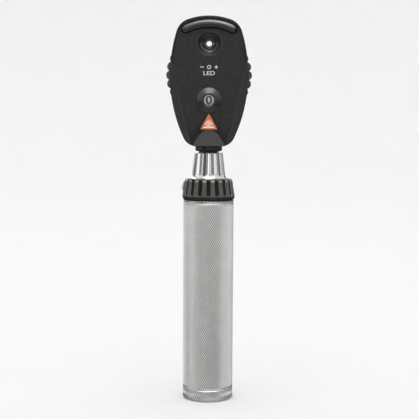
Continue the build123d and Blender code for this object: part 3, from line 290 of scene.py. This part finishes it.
def housing_material():
    """Head plastic with its side facets and tongue painted paler, painted light for the light their
    slant catches, and a painted shadow in the trench round the brow rest.
    """
    mat = head_plastic("tongue_plastic")
    tree = mat.node_tree
    shader = tree.nodes["Principled BSDF"]
    plain = shader.inputs["Base Color"].links[0].from_socket
    coords = tree.nodes.new("ShaderNodeTexCoord")
    split = tree.nodes.new("ShaderNodeSeparateXYZ")
    tree.links.new(coords.outputs["Object"], split.inputs[0])
    proud = ramp(tree, split.outputs["Y"], 1, 0, -0.00962, -0.00956)
    low = ramp(tree, split.outputs["Z"], 1, 0, 0.1618, 0.162)
    # the side facets start where |x| - 0.2408 z passes their edge on the panel
    across = tree.nodes.new("ShaderNodeMath")
    across.operation = "ABSOLUTE"
    tree.links.new(split.outputs["X"], across.inputs[0])
    slope = tree.nodes.new("ShaderNodeMath")
    slope.operation = "MULTIPLY_ADD"
    slope.inputs[1].default_value = -0.2408
    tree.links.new(split.outputs["Z"], slope.inputs[0])
    tree.links.new(across.outputs[0], slope.inputs[2])
    facet_light = ramp(tree, slope.outputs[0], 0, 1, -0.02685, -0.0265)
    facet_light = multiplied(tree, facet_light, ramp(tree, split.outputs["Y"], 1, 0, -0.0055, -0.003))
    # painted light: the slanted side facets and the up-tilted tongue take paler tones than the
    # panel
    plain = tinted(tree, plain, facet_light, (0.026, 0.0255, 0.0245))
    lit_tongue = tinted(tree, plain, multiplied(tree, proud, low), (0.033, 0.032, 0.03))
    # the painted shade of the trench follows an arc about a point on the head's axis
    arc_centre = tree.nodes.new("ShaderNodeVectorMath")
    arc_centre.operation = "SUBTRACT"
    arc_centre.inputs[1].default_value = (0, 0, 0.1921)
    tree.links.new(coords.outputs["Object"], arc_centre.inputs[0])
    flatten = tree.nodes.new("ShaderNodeVectorMath")
    flatten.operation = "MULTIPLY"
    flatten.inputs[1].default_value = (1, 0, 1)
    tree.links.new(arc_centre.outputs[0], flatten.inputs[0])
    reach = tree.nodes.new("ShaderNodeVectorMath")
    reach.operation = "LENGTH"
    tree.links.new(flatten.outputs[0], reach.inputs[0])
    band = between(tree, reach.outputs["Value"], 0.0279, 0.0336, 0.0001)
    side = between(tree, split.outputs["X"], -0.0165, 0.0165, 0.0001)
    deep = between(tree, split.outputs["Y"], -0.00945, -0.0078, 0.0001)
    top = ramp(tree, split.outputs["Z"], 0, 1, 0.2, 0.201)
    trench_shade = multiplied(tree, multiplied(tree, band, side), multiplied(tree, deep, top))
    # painted shade: the trench goes near black and its reflection is turned down
    colour = tinted(tree, lit_tongue, trench_shade, (0.0005, 0.0005, 0.0005))
    tree.links.new(colour, shader.inputs["Base Color"])
    tree.links.new(ramp(tree, trench_shade, 0.25, 0.02, 0, 1), shader.inputs["Specular IOR Level"])
    return mat


def ring_material():
    """Moulded grip ring: satin lands and a darker foot, grooves painted near black as painted
    shade, and pale rims painted on the grooves as a painted highlight.
    """
    mat, tree, shader = new_material("ring_plastic")
    hollow, height = below_surface(tree, 0.1591, 0.03497, 0.0006)
    outer = ramp(tree, hollow, 1, 0, 0, 1)
    above = ramp(tree, height, 0, 1, 0.1222, 0.1228)
    land = multiplied(tree, outer, ramp(tree, above, 0.35, 1, 0, 1))
    fine = noise(tree, 3500, 3.0, 0.6)
    mottle = ramp(tree, noise(tree, 200), 0, 1)
    satin = blend_colours(tree, mottle, (0.044, 0.039, 0.035), (0.055, 0.049, 0.044))
    # the grooves take a near-black tone, painted shade in them
    node = tree.nodes.new("ShaderNodeMix")
    node.data_type = "RGBA"
    node.inputs["A"].default_value = (0.003, 0.0026, 0.0023, 1)
    tree.links.new(land, node.inputs["Factor"])
    tree.links.new(satin, node.inputs["B"])
    # the rims of the grooves are painted pale, a painted highlight where their edges turn to the
    # light
    rim = multiplied(tree, above, between(tree, hollow, 0.04, 0.62, 0.1))
    colour = tinted(tree, node.outputs["Result"], rim, (0.19, 0.18, 0.17))
    tree.links.new(colour, shader.inputs["Base Color"])
    tree.links.new(ramp(tree, land, 0.2, 0.46, 0, 1), shader.inputs["Roughness"])
    tree.links.new(ramp(tree, land, 0.16, 0.4, 0, 1), shader.inputs["Specular IOR Level"])
    bump(tree, shader, fine, 6e-6, 0.5)
    return mat


def led_material():
    """Phosphor of the lamp under its clear dome."""
    mat, tree, shader = new_material("led_emitter")
    tone = blend_colours(tree, noise(tree, 1500), (0.85, 0.75, 0.3), (0.95, 0.9, 0.55))
    tree.links.new(tone, shader.inputs["Base Color"])
    shader.inputs["Roughness"].default_value = 0.3
    shader.inputs["Coat Weight"].default_value = 1.0
    return mat


MATERIALS["mirror"] = mirror_material()
MATERIALS["led"] = led_material()
MATERIALS["ring_plastic"] = ring_material()
chrome = metal("chrome", (0.52, 0.52, 0.515), 0.07, 0.015, 400, depth=2e-7)
# the flutes of the cone are painted darker, painted shade in its hollows
MATERIALS["chrome"] = tint_hollows(chrome, 0.1138, 0.02511, 0.0005, 0.42)
# the grooves of the knurl are painted darker than its crests, painted shade in them
satin = metal("satin_shell", (0.95, 0.95, 0.935), 0.38, 0.05, 3000, depth=3e-6, edge=0.6)
MATERIALS["satin_shell"] = tint_hollows(satin, 0, 0.01498, 0.00024, 0.46)
MATERIALS["housing"] = housing_material()
# the dial face glows faintly: painted light that brightens it deep in the display's tunnel
dial_glow_shader = MATERIALS["dial_face"].node_tree.nodes["Principled BSDF"]
dial_glow_shader.inputs["Emission Color"].default_value = (1.0, 0.98, 0.94, 1)
dial_glow_shader.inputs["Emission Strength"].default_value = 0.2

NODE_LOOKS = {
    "cap_contact": "brass",
    "battery_spring": "wire",
    "cap_seal": "seal_rubber",
    "lower_cell": "cell_jacket",
    "upper_cell": "cell_jacket",
    "battery_bulkhead": "insulator",
    "contact_plate": "brass",
    "carrier_sleeve": "aluminium",
    "ring_washer": "steel",
    "rheostat_track": "board",
    "rheostat_ring": "ring_plastic",
    "wiper_contact": "brass",
    "lock_button": "button_plastic",
    "lock_button_spring": "wire",
    "coupling_cone": "chrome",
    "insulator_bush": "insulator",
    "contact_pin": "nickel",
    "pin_spring": "wire",
    "head_spigot": "black_metal",
    "spigot_insulator": "insulator",
    "spigot_contact": "nickel",
    "rear_housing": "housing",
    "front_housing": "head_plastic",
    "housing_seal": "seal_rubber",
    "housing_screws": "steel",
    "brow_rest": "brow_rubber",
    "sight_bezel": "bezel_plastic",
    "sight_ring": "dark_steel",
    "sight_eyelet": "black_metal",
    "display_bezel": "bezel_plastic",
    "display_lens": "lens",
    "badge": "badge_print",
    "chassis_plate": "aluminium",
    "chassis_screws": "steel",
    "wheel_axle": "steel",
    "axle_washer": "brass",
    "lens_wheel": "wheel_plastic",
    "wheel_lenses": "lens",
    "dioptre_dial": "dial_face",
    "detent_ball": "steel",
    "detent_spring": "wire",
    "lamp_holder": "aluminium",
    "lamp_contact": "brass",
    "led_board": "board",
    "led_lamp": "led",
    "condenser_tube": "black_metal",
    "condenser_lens": "lens",
    "aperture_frame": "black_metal",
    "aperture_axle": "steel",
    "aperture_wheel": "wheel_plastic",
    "filter_glass": "filter",
    "objective_tube": "black_metal",
    "objective_lens": "lens",
    "mirror": "mirror",
    "mirror_mount": "black_metal",
    "front_window": "lens",
    "sight_tube": "black_metal",
}


def dress(obj, look):
    """Gives every material slot of an object one finished material."""
    mat = MATERIALS[look]
    if not obj.material_slots:
        obj.data.materials.append(mat)
    for slot in obj.material_slots:
        slot.material = mat


for node_name, look in NODE_LOOKS.items():
    dress(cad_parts[node_name], look)


# --- Mesh helpers -------------------------------------------------------------------


def closed_object(name, verts, faces):
    """A closed mesh object from points in millimetres, with its faces turned outwards."""
    mesh = bpy.data.meshes.new(name)
    mesh.from_pydata([(x * MM, y * MM, z * MM) for x, y, z in verts], [], faces)
    bm = bmesh.new()
    bm.from_mesh(mesh)
    bmesh.ops.recalc_face_normals(bm, faces=bm.faces)
    bm.to_mesh(mesh)
    bm.free()
    obj = bpy.data.objects.new(name, mesh)
    bpy.context.collection.objects.link(obj)
    return obj


def add_piece(name, verts, faces, look, body, smooth_angle=None):
    """A closed mesh piece in millimetres that rides on a body."""
    obj = closed_object(name, verts, faces)
    mesh = obj.data
    if smooth_angle is not None:
        mesh.polygons.foreach_set("use_smooth", [True] * len(mesh.polygons))
        mesh.set_sharp_from_angle(angle=math.radians(smooth_angle))
    dress(obj, look)
    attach(obj, body)
    return obj


class Rings:
    """Builds a surface from horizontal rings of the same number of points."""

    def __init__(self, count):
        self.count = count
        self.verts = []
        self.faces = []

    def ring(self, radius, height):
        """Adds a level ring and returns its points."""
        first = len(self.verts)
        for i in range(self.count):
            a = TURN * i / self.count
            self.verts.append((radius * math.cos(a), radius * math.sin(a), height))
        return [first + i for i in range(self.count)]

    def bridge(self, lower, upper):
        """Joins two rings with quads."""
        n = self.count
        for i in range(n):
            j = (i + 1) % n
            self.faces.append((lower[i], lower[j], upper[j], upper[i]))

    def cap(self, ring, height):
        """Closes a ring to a point on the axis."""
        self.verts.append((0, 0, height))
        centre = len(self.verts) - 1
        n = self.count
        for i in range(n):
            self.faces.append((ring[i], ring[(i + 1) % n], centre))

    def knurl(self, radius, depth, foot, top, rows, flat=0.42):
        """Diamonds between two heights: each is a small pyramid with a flat crest.

        The lattice has two columns and two rows to a diamond; the points whose column
        and row add up to an even number are where the grooves cross, and the grooves run
        out to the plain surface at both ends.
        """
        n = self.count
        floor = radius - depth
        grid = []
        for row in range(2 * rows + 1):
            height = foot + (top - foot) * row / (2 * rows)
            edge_row = row in (0, 2 * rows)
            line = []
            for col in range(n):
                if edge_row or (col + row) % 2 == 0:
                    a = TURN * col / n
                    r = radius if edge_row else floor
                    self.verts.append((r * math.cos(a), r * math.sin(a), height))
                    line.append(len(self.verts) - 1)
                else:
                    line.append(None)
            grid.append(line)
        half_col = TURN / n * flat
        half_row = (top - foot) / (2 * rows) * flat
        for row in range(1, 2 * rows):
            height = foot + (top - foot) * row / (2 * rows)
            for col in range(n):
                if (col + row) % 2 == 0:
                    continue
                a = TURN * col / n
                crest = []
                for da, dz in ((half_col, 0), (0, half_row), (-half_col, 0), (0, -half_row)):
                    b = a + da
                    self.verts.append((radius * math.cos(b), radius * math.sin(b), height + dz))
                    crest.append(len(self.verts) - 1)
                corners = (
                    grid[row][(col + 1) % n],
                    grid[row + 1][col],
                    grid[row][(col - 1) % n],
                    grid[row - 1][col],
                )
                self.faces.append(tuple(crest))
                for k in range(4):
                    m = (k + 1) % 4
                    self.faces.append((corners[k], corners[m], crest[m], crest[k]))
        for edge, inner in ((0, 1), (2 * rows, 2 * rows - 1)):
            for col in range(n):
                if (col + edge) % 2 == 1:
                    left, mid, right = (grid[edge][(col + k) % n] for k in (-1, 0, 1))
                    self.faces.append((left, mid, grid[inner][col]))
                    self.faces.append((mid, right, grid[inner][col]))
        return grid[0], grid[-1]

    def turned(self, profile, start=None):
        """Rings through (radius, height) points, joined one to the next."""
        last = start
        first = None
        for radius, height in profile:
            ring = self.ring(radius, height)
            if last is not None:
                self.bridge(last, ring)
            first = first or ring
            last = ring
        return first, last


# --- Knurled tube and end cap -------------------------------------------------------

low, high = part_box("handle_tube")
TUBE_R = high.x / MM
TUBE_FOOT, TUBE_TOP = low.z / MM, high.z / MM
BORE_R = 13.6
KNURL_COLUMNS = 148
KNURL_PITCH = 2.02
KNURL_DEPTH = 0.28

tube = Rings(KNURL_COLUMNS)
knurl_foot, knurl_top = TUBE_FOOT + 0.5, TUBE_TOP - 0.5
rows = round((knurl_top - knurl_foot) / KNURL_PITCH)
first, last = tube.turned(
    [(BORE_R, TUBE_FOOT), (TUBE_R - 0.25, TUBE_FOOT), (TUBE_R, TUBE_FOOT + 0.25)]
)
foot_ring, top_ring = tube.knurl(TUBE_R, KNURL_DEPTH, knurl_foot, knurl_top, rows)
tube.bridge(last, foot_ring)
_, last = tube.turned(
    [(TUBE_R, TUBE_TOP - 0.3), (TUBE_R - 0.3, TUBE_TOP), (BORE_R, TUBE_TOP)],
    top_ring,
)
tube.bridge(last, first)
knurled_tube = add_piece(
    "knurled_tube", tube.verts, tube.faces, "satin_shell", "handle", 25
)
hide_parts("handle_tube")

low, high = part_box("end_cap")
CAP_H = 6.8
NECK_TOP = high.z / MM
cap = Rings(KNURL_COLUMNS)
ROUND_R = 2.0
round_steps = [TURN / 4 * k / 8 for k in range(8)]
first, last = cap.turned(
    [(TUBE_R - ROUND_R * (1 - math.sin(a)), ROUND_R * (1 - math.cos(a))) for a in round_steps]
)
cap.cap(first, 0)
foot_ring, top_ring = cap.knurl(TUBE_R, KNURL_DEPTH, ROUND_R, CAP_H - 0.6, 2)
cap.bridge(last, foot_ring)
_, last = cap.turned(
    [
        (TUBE_R, CAP_H - 0.2),
        (TUBE_R - 0.2, CAP_H),
        (12.6, CAP_H),
        (12.6, CAP_H + 1.5),
        (BORE_R - 0.05, CAP_H + 1.5),
        (BORE_R - 0.05, NECK_TOP - 0.4),
        (BORE_R - 0.45, NECK_TOP),
        (12.0, NECK_TOP),
        (12.0, 2.6),
    ],
    top_ring,
)
cap.cap(last, 2.6)
knurled_cap = add_piece(
    "knurled_cap", cap.verts, cap.faces, "satin_shell", "cap", 25
)
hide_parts("end_cap")


# --- Printed marks ------------------------------------------------------------------

PRINT_T = 0.04


def mesh_points(obj):
    """Vertices and faces of a curve or text object in its own units, with seams merged."""
    depsgraph = bpy.context.evaluated_depsgraph_get()
    mesh = bpy.data.meshes.new_from_object(obj.evaluated_get(depsgraph))
    bm = bmesh.new()
    bm.from_mesh(mesh)
    bmesh.ops.remove_doubles(bm, verts=bm.verts, dist=1e-5)
    bm.verts.index_update()
    verts = [tuple(v.co) for v in bm.verts]
    faces = [tuple(v.index for v in f.verts) for f in bm.faces]
    bm.free()
    bpy.data.meshes.remove(mesh)
    bpy.data.objects.remove(obj)
    return verts, faces


def loops_print(loops):
    """Flat print bounded by closed outlines; an outline inside another is a hole."""
    curve = bpy.data.curves.new("outline", "CURVE")
    curve.dimensions = "2D"
    curve.fill_mode = "BOTH"
    curve.extrude = PRINT_T / 2
    for loop in loops:
        spline = curve.splines.new("POLY")
        spline.points.add(len(loop) - 1)
        for point, (x, y) in zip(spline.points, loop):
            point.co = (x, y, 0, 1)
        spline.use_cyclic_u = True
    obj = bpy.data.objects.new("outline", curve)
    bpy.context.collection.objects.link(obj)
    return mesh_points(obj)


def text_print(words, height, widen=1.0, weight=0.0):
    """Flat print of a word of that cap height, centred on the origin."""
    text = bpy.data.curves.new("words", "FONT")
    text.body = words
    text.align_x = "CENTER"
    text.size = height / 0.72
    text.offset = weight
    text.resolution_u = 4
    text.extrude = PRINT_T / 2
    obj = bpy.data.objects.new("words", text)
    bpy.context.collection.objects.link(obj)
    verts, faces = mesh_points(obj)
    low_x, high_x = min(v[0] for v in verts), max(v[0] for v in verts)
    low_y, high_y = min(v[1] for v in verts), max(v[1] for v in verts)
    x0, y0 = (low_x + high_x) / 2, (low_y + high_y) / 2
    return [((x - x0) * widen, y - y0, z) for x, y, z in verts], faces


def on_face(parts, y):
    """Joins prints, each with its (x, z) place and turn, on a plane that faces -Y."""
    verts, faces = [], []
    for (points, polygons), (x0, z0), turn in parts:
        first = len(verts)
        c, d = math.cos(turn), math.sin(turn)
        for x, up, out in points:
            verts.append((x0 + x * c - up * d, y - PRINT_T / 2 - out, z0 + x * d + up * c))
        faces += [tuple(first + i for i in polygon) for polygon in polygons]
    return verts, faces


def circle_loop(radius, x0=0.0, y0=0.0, count=24):
    """Outline of a circle."""
    return [
        (x0 + radius * math.cos(TURN * k / count), y0 + radius * math.sin(TURN * k / count))
        for k in range(count)
    ]


def almond_loop(half_w, half_h, count=12):
    """Outline of two arcs that meet in points, like an eye."""
    arc_r = (half_w**2 + half_h**2) / (2 * half_h)
    sweep = math.asin(half_w / arc_r)
    loop = []
    for side in (1, -1):
        for k in range(count):
            a = sweep * (1 - 2 * k / count)
            loop.append((side * arc_r * math.sin(a), side * (arc_r * math.cos(a) - arc_r + half_h)))
    return loop


def bar_loop(width, height, x0=0.0, y0=0.0):
    """Outline of a rectangle."""
    w, h = width / 2, height / 2
    return [(x0 - w, y0 - h), (x0 + w, y0 - h), (x0 + w, y0 + h), (x0 - w, y0 + h)]


def plus_loop(reach, half, x0=0.0, y0=0.0):
    """Outline of a plus sign."""
    loop = []
    for c, d in ((1, 0), (0, 1), (-1, 0), (0, -1)):
        for x, y in ((half, -half), (reach, -half), (reach, half)):
            loop.append((x0 + x * c - y * d, y0 + x * d + y * c))
    return loop


def turned_bar(width, start, end, turn, x0, y0):
    """Bar that points away from a centre, between two distances from it."""
    c, d = math.cos(turn), math.sin(turn)
    corners = ((-width / 2, start), (width / 2, start), (width / 2, end), (-width / 2, end))
    return [(x0 + x * c + y * d, y0 - x * d + y * c) for x, y in corners]


badge_low, badge_high = (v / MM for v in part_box("badge"))
eye_y = 3.2
rays = [turned_bar(0.42, 1.5, 2.25, math.radians(a), 0, eye_y) for a in (-32, 0, 32)]
emblem = loops_print(
    [
        [(x, y + eye_y) for x, y in almond_loop(2.35, 1.2)],
        [(x, y + eye_y) for x, y in almond_loop(1.65, 0.72)],
        circle_loop(0.5, 0, eye_y),
        bar_loop(6.2, 0.75, 0, 1.25),
        *rays,
    ]
)
verts, faces = on_face([(emblem, (0, badge_low.z), 0)], badge_low.y)
add_piece("badge_emblem", verts, faces, "badge_mark", "head")

panel_y = badge_high.y
plus_minus = loops_print(
    [
        bar_loop(2.0, 0.38, -4.1, 0),
        circle_loop(1.15),
        circle_loop(0.77),
        plus_loop(1.0, 0.19, 4.1, 0),
    ]
)
lamp_kind = text_print("LED", 2.4, 1.22)
verts, faces = on_face([(plus_minus, (0, 197.8), 0), (lamp_kind, (0, 194.3), 0)], panel_y)
add_piece("face_marks", verts, faces, "face_print", "head")

# one number for each lens of the wheel; the one opposite the sight hole shows in the display
POWERS = [0, *range(1, 11), 15, 20, 40, 35, 25, 20, 15, *range(10, 0, -1)]
dial_low, dial_high = (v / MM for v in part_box("dioptre_dial"))
wheel_z = (dial_low.z + dial_high.z) / 2
NUMBER_R = 14.4
# stroke weights of the numbers that don't take the usual one
STROKES = {0: 0.16, 4: 0.0, 40: 0.0}
numbers = []
for index, power in enumerate(POWERS):
    turn = TURN * index / len(POWERS)
    place = (NUMBER_R * math.sin(turn), wheel_z - NUMBER_R * math.cos(turn))
    tall, wide, weight = (2.9, 1.1, 0.11) if power < 10 else (1.9, 0.95, 0.04)
    number = text_print(str(power), tall, wide, STROKES.get(power, weight))
    numbers.append((number, place, turn))
verts, faces = on_face(numbers, dial_low.y)
add_piece("dial_numbers", verts, faces, "dial_ink", "lens_disc")


# --- Springs ------------------------------------------------------------------------


def coil(name, radius, wire, start, end, turns, axis, node):
    """Compression spring between two heights along an axis, put in place of a CAD node."""
    steps, sides = 20, 8
    count = int(turns * steps)
    verts, faces = [], []
    for i in range(count + 1):
        t = i / count
        # the end turns lie closer together than the middle ones
        rise = t * t * (3 - 2 * t) * 0.25 + t * 0.75
        h = start + wire + (end - start - 2 * wire) * rise
        a = TURN * turns * t
        for k in range(sides):
            b = TURN * k / sides
            r = radius + wire * math.cos(b)
            u = h + wire * math.sin(b)
            verts.append(axis(r * math.cos(a), r * math.sin(a), u))
        if i:
            here, before = i * sides, (i - 1) * sides
            for k in range(sides):
                m = (k + 1) % sides
                faces.append((before + k, before + m, here + m, here + k))
    faces.append(tuple(range(sides)))
    faces.append(tuple(count * sides + k for k in range(sides)))
    obj = closed_object(name, verts, faces)
    polygons = obj.data.polygons
    polygons.foreach_set("use_smooth", [len(p.vertices) == 4 for p in polygons])
    dress(obj, "wire")
    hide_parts(node)
    first = tuple(c * MM for c in axis(0, 0, start))
    last = tuple(c * MM for c in axis(0, 0, end))
    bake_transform(obj)


low, high = (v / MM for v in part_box("pin_spring"))
pin_r = (high.x - low.x) / 2
coil(
    "pin_coil",
    pin_r - 0.22,
    0.22,
    low.z,
    high.z,
    9,
    lambda x, y, z: (x, y, z),
    "pin_spring",
)
low, high = (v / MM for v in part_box("lock_button_spring"))
lock_r, lock_z = (high.y - low.y) / 2, (high.z + low.z) / 2
coil(
    "lock_coil",
    lock_r - 0.15,
    0.15,
    -high.x,
    -low.x,
    6,
    lambda x, y, z: (-z, y, lock_z + x),
    "lock_button_spring",
)


# --- Stage: floor, lights and camera ------------------------------------------------


def stage_mesh(name, verts, faces, tones, rough):
    """Stage surface in metres with a softly mottled paper look."""
    mesh = bpy.data.meshes.new(name)
    mesh.from_pydata(verts, [], faces)
    mesh.polygons.foreach_set("use_smooth", [True] * len(mesh.polygons))
    mat, tree, shader = new_material(name)
    tree.links.new(blend_colours(tree, noise(tree, 20), *tones), shader.inputs["Base Color"])
    shader.inputs["Roughness"].default_value = rough
    obj = bpy.data.objects.new(name, mesh)
    bpy.context.collection.objects.link(obj)
    obj.data.materials.append(mat)
    return obj


def paper_bowl():
    """Pale floor that curves up all round, so that every side has the same backdrop."""
    floor_r, curve_r, rim = 1.7, 1.3, 4.0
    line = [(0.001, 0.0), (0.5, 0.0), (1.0, 0.0), (floor_r, 0.0)]
    steps = 14
    for i in range(1, steps + 1):
        a = math.pi / 2 * i / steps
        line.append((floor_r + curve_r * math.sin(a), curve_r - curve_r * math.cos(a)))
    line.append((floor_r + curve_r, rim))
    around = 64
    verts = [
        (r * math.cos(TURN * k / around), r * math.sin(TURN * k / around), z)
        for r, z in line
        for k in range(around)
    ]
    faces = []
    for i in range(len(line) - 1):
        inner, outer = i * around, (i + 1) * around
        for k in range(around):
            m = (k + 1) % around
            faces.append((inner + k, inner + m, outer + m, outer + k))
    return stage_mesh("paper_bowl", verts, faces, ((0.87, 0.87, 0.87), (0.89, 0.89, 0.89)), 0.9)


def flag(name, bearing, width, top, foot=-0.1, distance=1.4):
    """Dark card that only reflections show, at a bearing from the examiner's side."""
    a = math.radians(bearing - 90)
    half = math.radians(width / 2)
    verts = [
        (distance * math.cos(a + d), distance * math.sin(a + d), z)
        for z in (foot, top)
        for d in (-half, 0, half)
    ]
    faces = [(0, 1, 4, 3), (1, 2, 5, 4)]
    card = stage_mesh(name, verts, faces, ((0.14, 0.14, 0.14), (0.17, 0.17, 0.17)), 1.0)
    card.visible_camera = False
    card.visible_diffuse = False
    card.visible_transmission = False
    card.visible_shadow = False


def softbox(name, place, target, size, power):
    """Rectangular area light aimed at a point, which lights the object and not the paper."""
    lamp = bpy.data.lights.new(name, "AREA")
    lamp.shape = "RECTANGLE"
    lamp.size, lamp.size_y = size
    lamp.energy = power
    obj = bpy.data.objects.new(name, lamp)
    obj.location = place
    obj.rotation_euler = (Vector(target) - Vector(place)).to_track_quat("-Z", "Y").to_euler()
    obj.visible_camera = False
    obj.light_linking.receiver_collection = unlit
    bpy.context.collection.objects.link(obj)
    return obj


bowl = paper_bowl()
bowl.visible_glossy = False
unlit = bpy.data.collections.new("left_to_the_sky")
unlit.objects.link(bowl)
unlit.collection_objects[0].light_linking.link_state = "EXCLUDE"
flag("flag_0", -32, 18, 1.1)
flag("flag_1", 86, 14, 0.9)
flag("flag_2", 150, 24, 0.9)
flag("flag_3", -122, 20, 0.9)
MIDDLE = (0, 0, 0.13)
softbox("top_box", (0.05, -0.2, 1.05), MIDDLE, (0.8, 0.6), 11.5)
softbox("right_box", (0.9, -0.9, 0.55), MIDDLE, (0.5, 0.9), 0.4)
softbox("front_box", (-0.1, -1.3, 0.45), MIDDLE, (0.35, 0.7), 0.7)
softbox("left_box", (-1.2, -0.1, 0.45), MIDDLE, (0.5, 0.9), 0.9)
softbox("rear_box", (-0.3, 1.1, 0.7), MIDDLE, (0.9, 0.6), 4)

world = bpy.data.worlds.new("studio")
bpy.context.scene.world = world
world.use_nodes = True
sky = world.node_tree
background = sky.nodes["Background"]
background.inputs["Strength"].default_value = 1.0
# brightness of the sky by the height of a direction, from straight down to straight up
SKY_LEVELS = (
    (-1.0, 0.9),
    (-0.75, 0.7),
    (-0.45, 0.15),
    (-0.1, 0.15),
    (0.04, 1.15),
    (0.6, 1.15),
    (1.0, 1.8),
)
coords = sky.nodes.new("ShaderNodeTexCoord")
split = sky.nodes.new("ShaderNodeSeparateXYZ")
sky.links.new(coords.outputs["Generated"], split.inputs[0])
# reflections show a bright tent above a dark band at table height and the pale table
height = ramp(sky, split.outputs["Z"], 0, 1, -1, 1)
tent = sky.nodes.new("ShaderNodeValToRGB")
stops = tent.color_ramp.elements
stops.remove(stops[1])
for index, (z, level) in enumerate(SKY_LEVELS):
    stop = stops[0] if index == 0 else stops.new((z + 1) / 2)
    stop.position = (z + 1) / 2
    stop.color = (level, level, level, 1)
sky.links.new(height, tent.inputs["Fac"])
sky.links.new(tent.outputs["Color"], background.inputs["Color"])

camera_data = bpy.data.cameras.new("camera")
camera_data.lens = 95.54
camera_data.sensor_width = 36
camera_data.clip_start = 0.01
camera_data.clip_end = 50
camera = bpy.data.objects.new("camera", camera_data)
camera.location = (0.00065, -0.660, 0.1802)
camera.rotation_mode = "QUATERNION"
pitch = Euler((math.radians(90 - 5.75), 0, 0)).to_quaternion()
camera.rotation_quaternion = pitch @ Quaternion((0, 0, 1), math.radians(0.3))
bpy.context.collection.objects.link(camera)
bpy.context.scene.camera = camera
bpy.context.scene.view_settings.view_transform = "Standard"
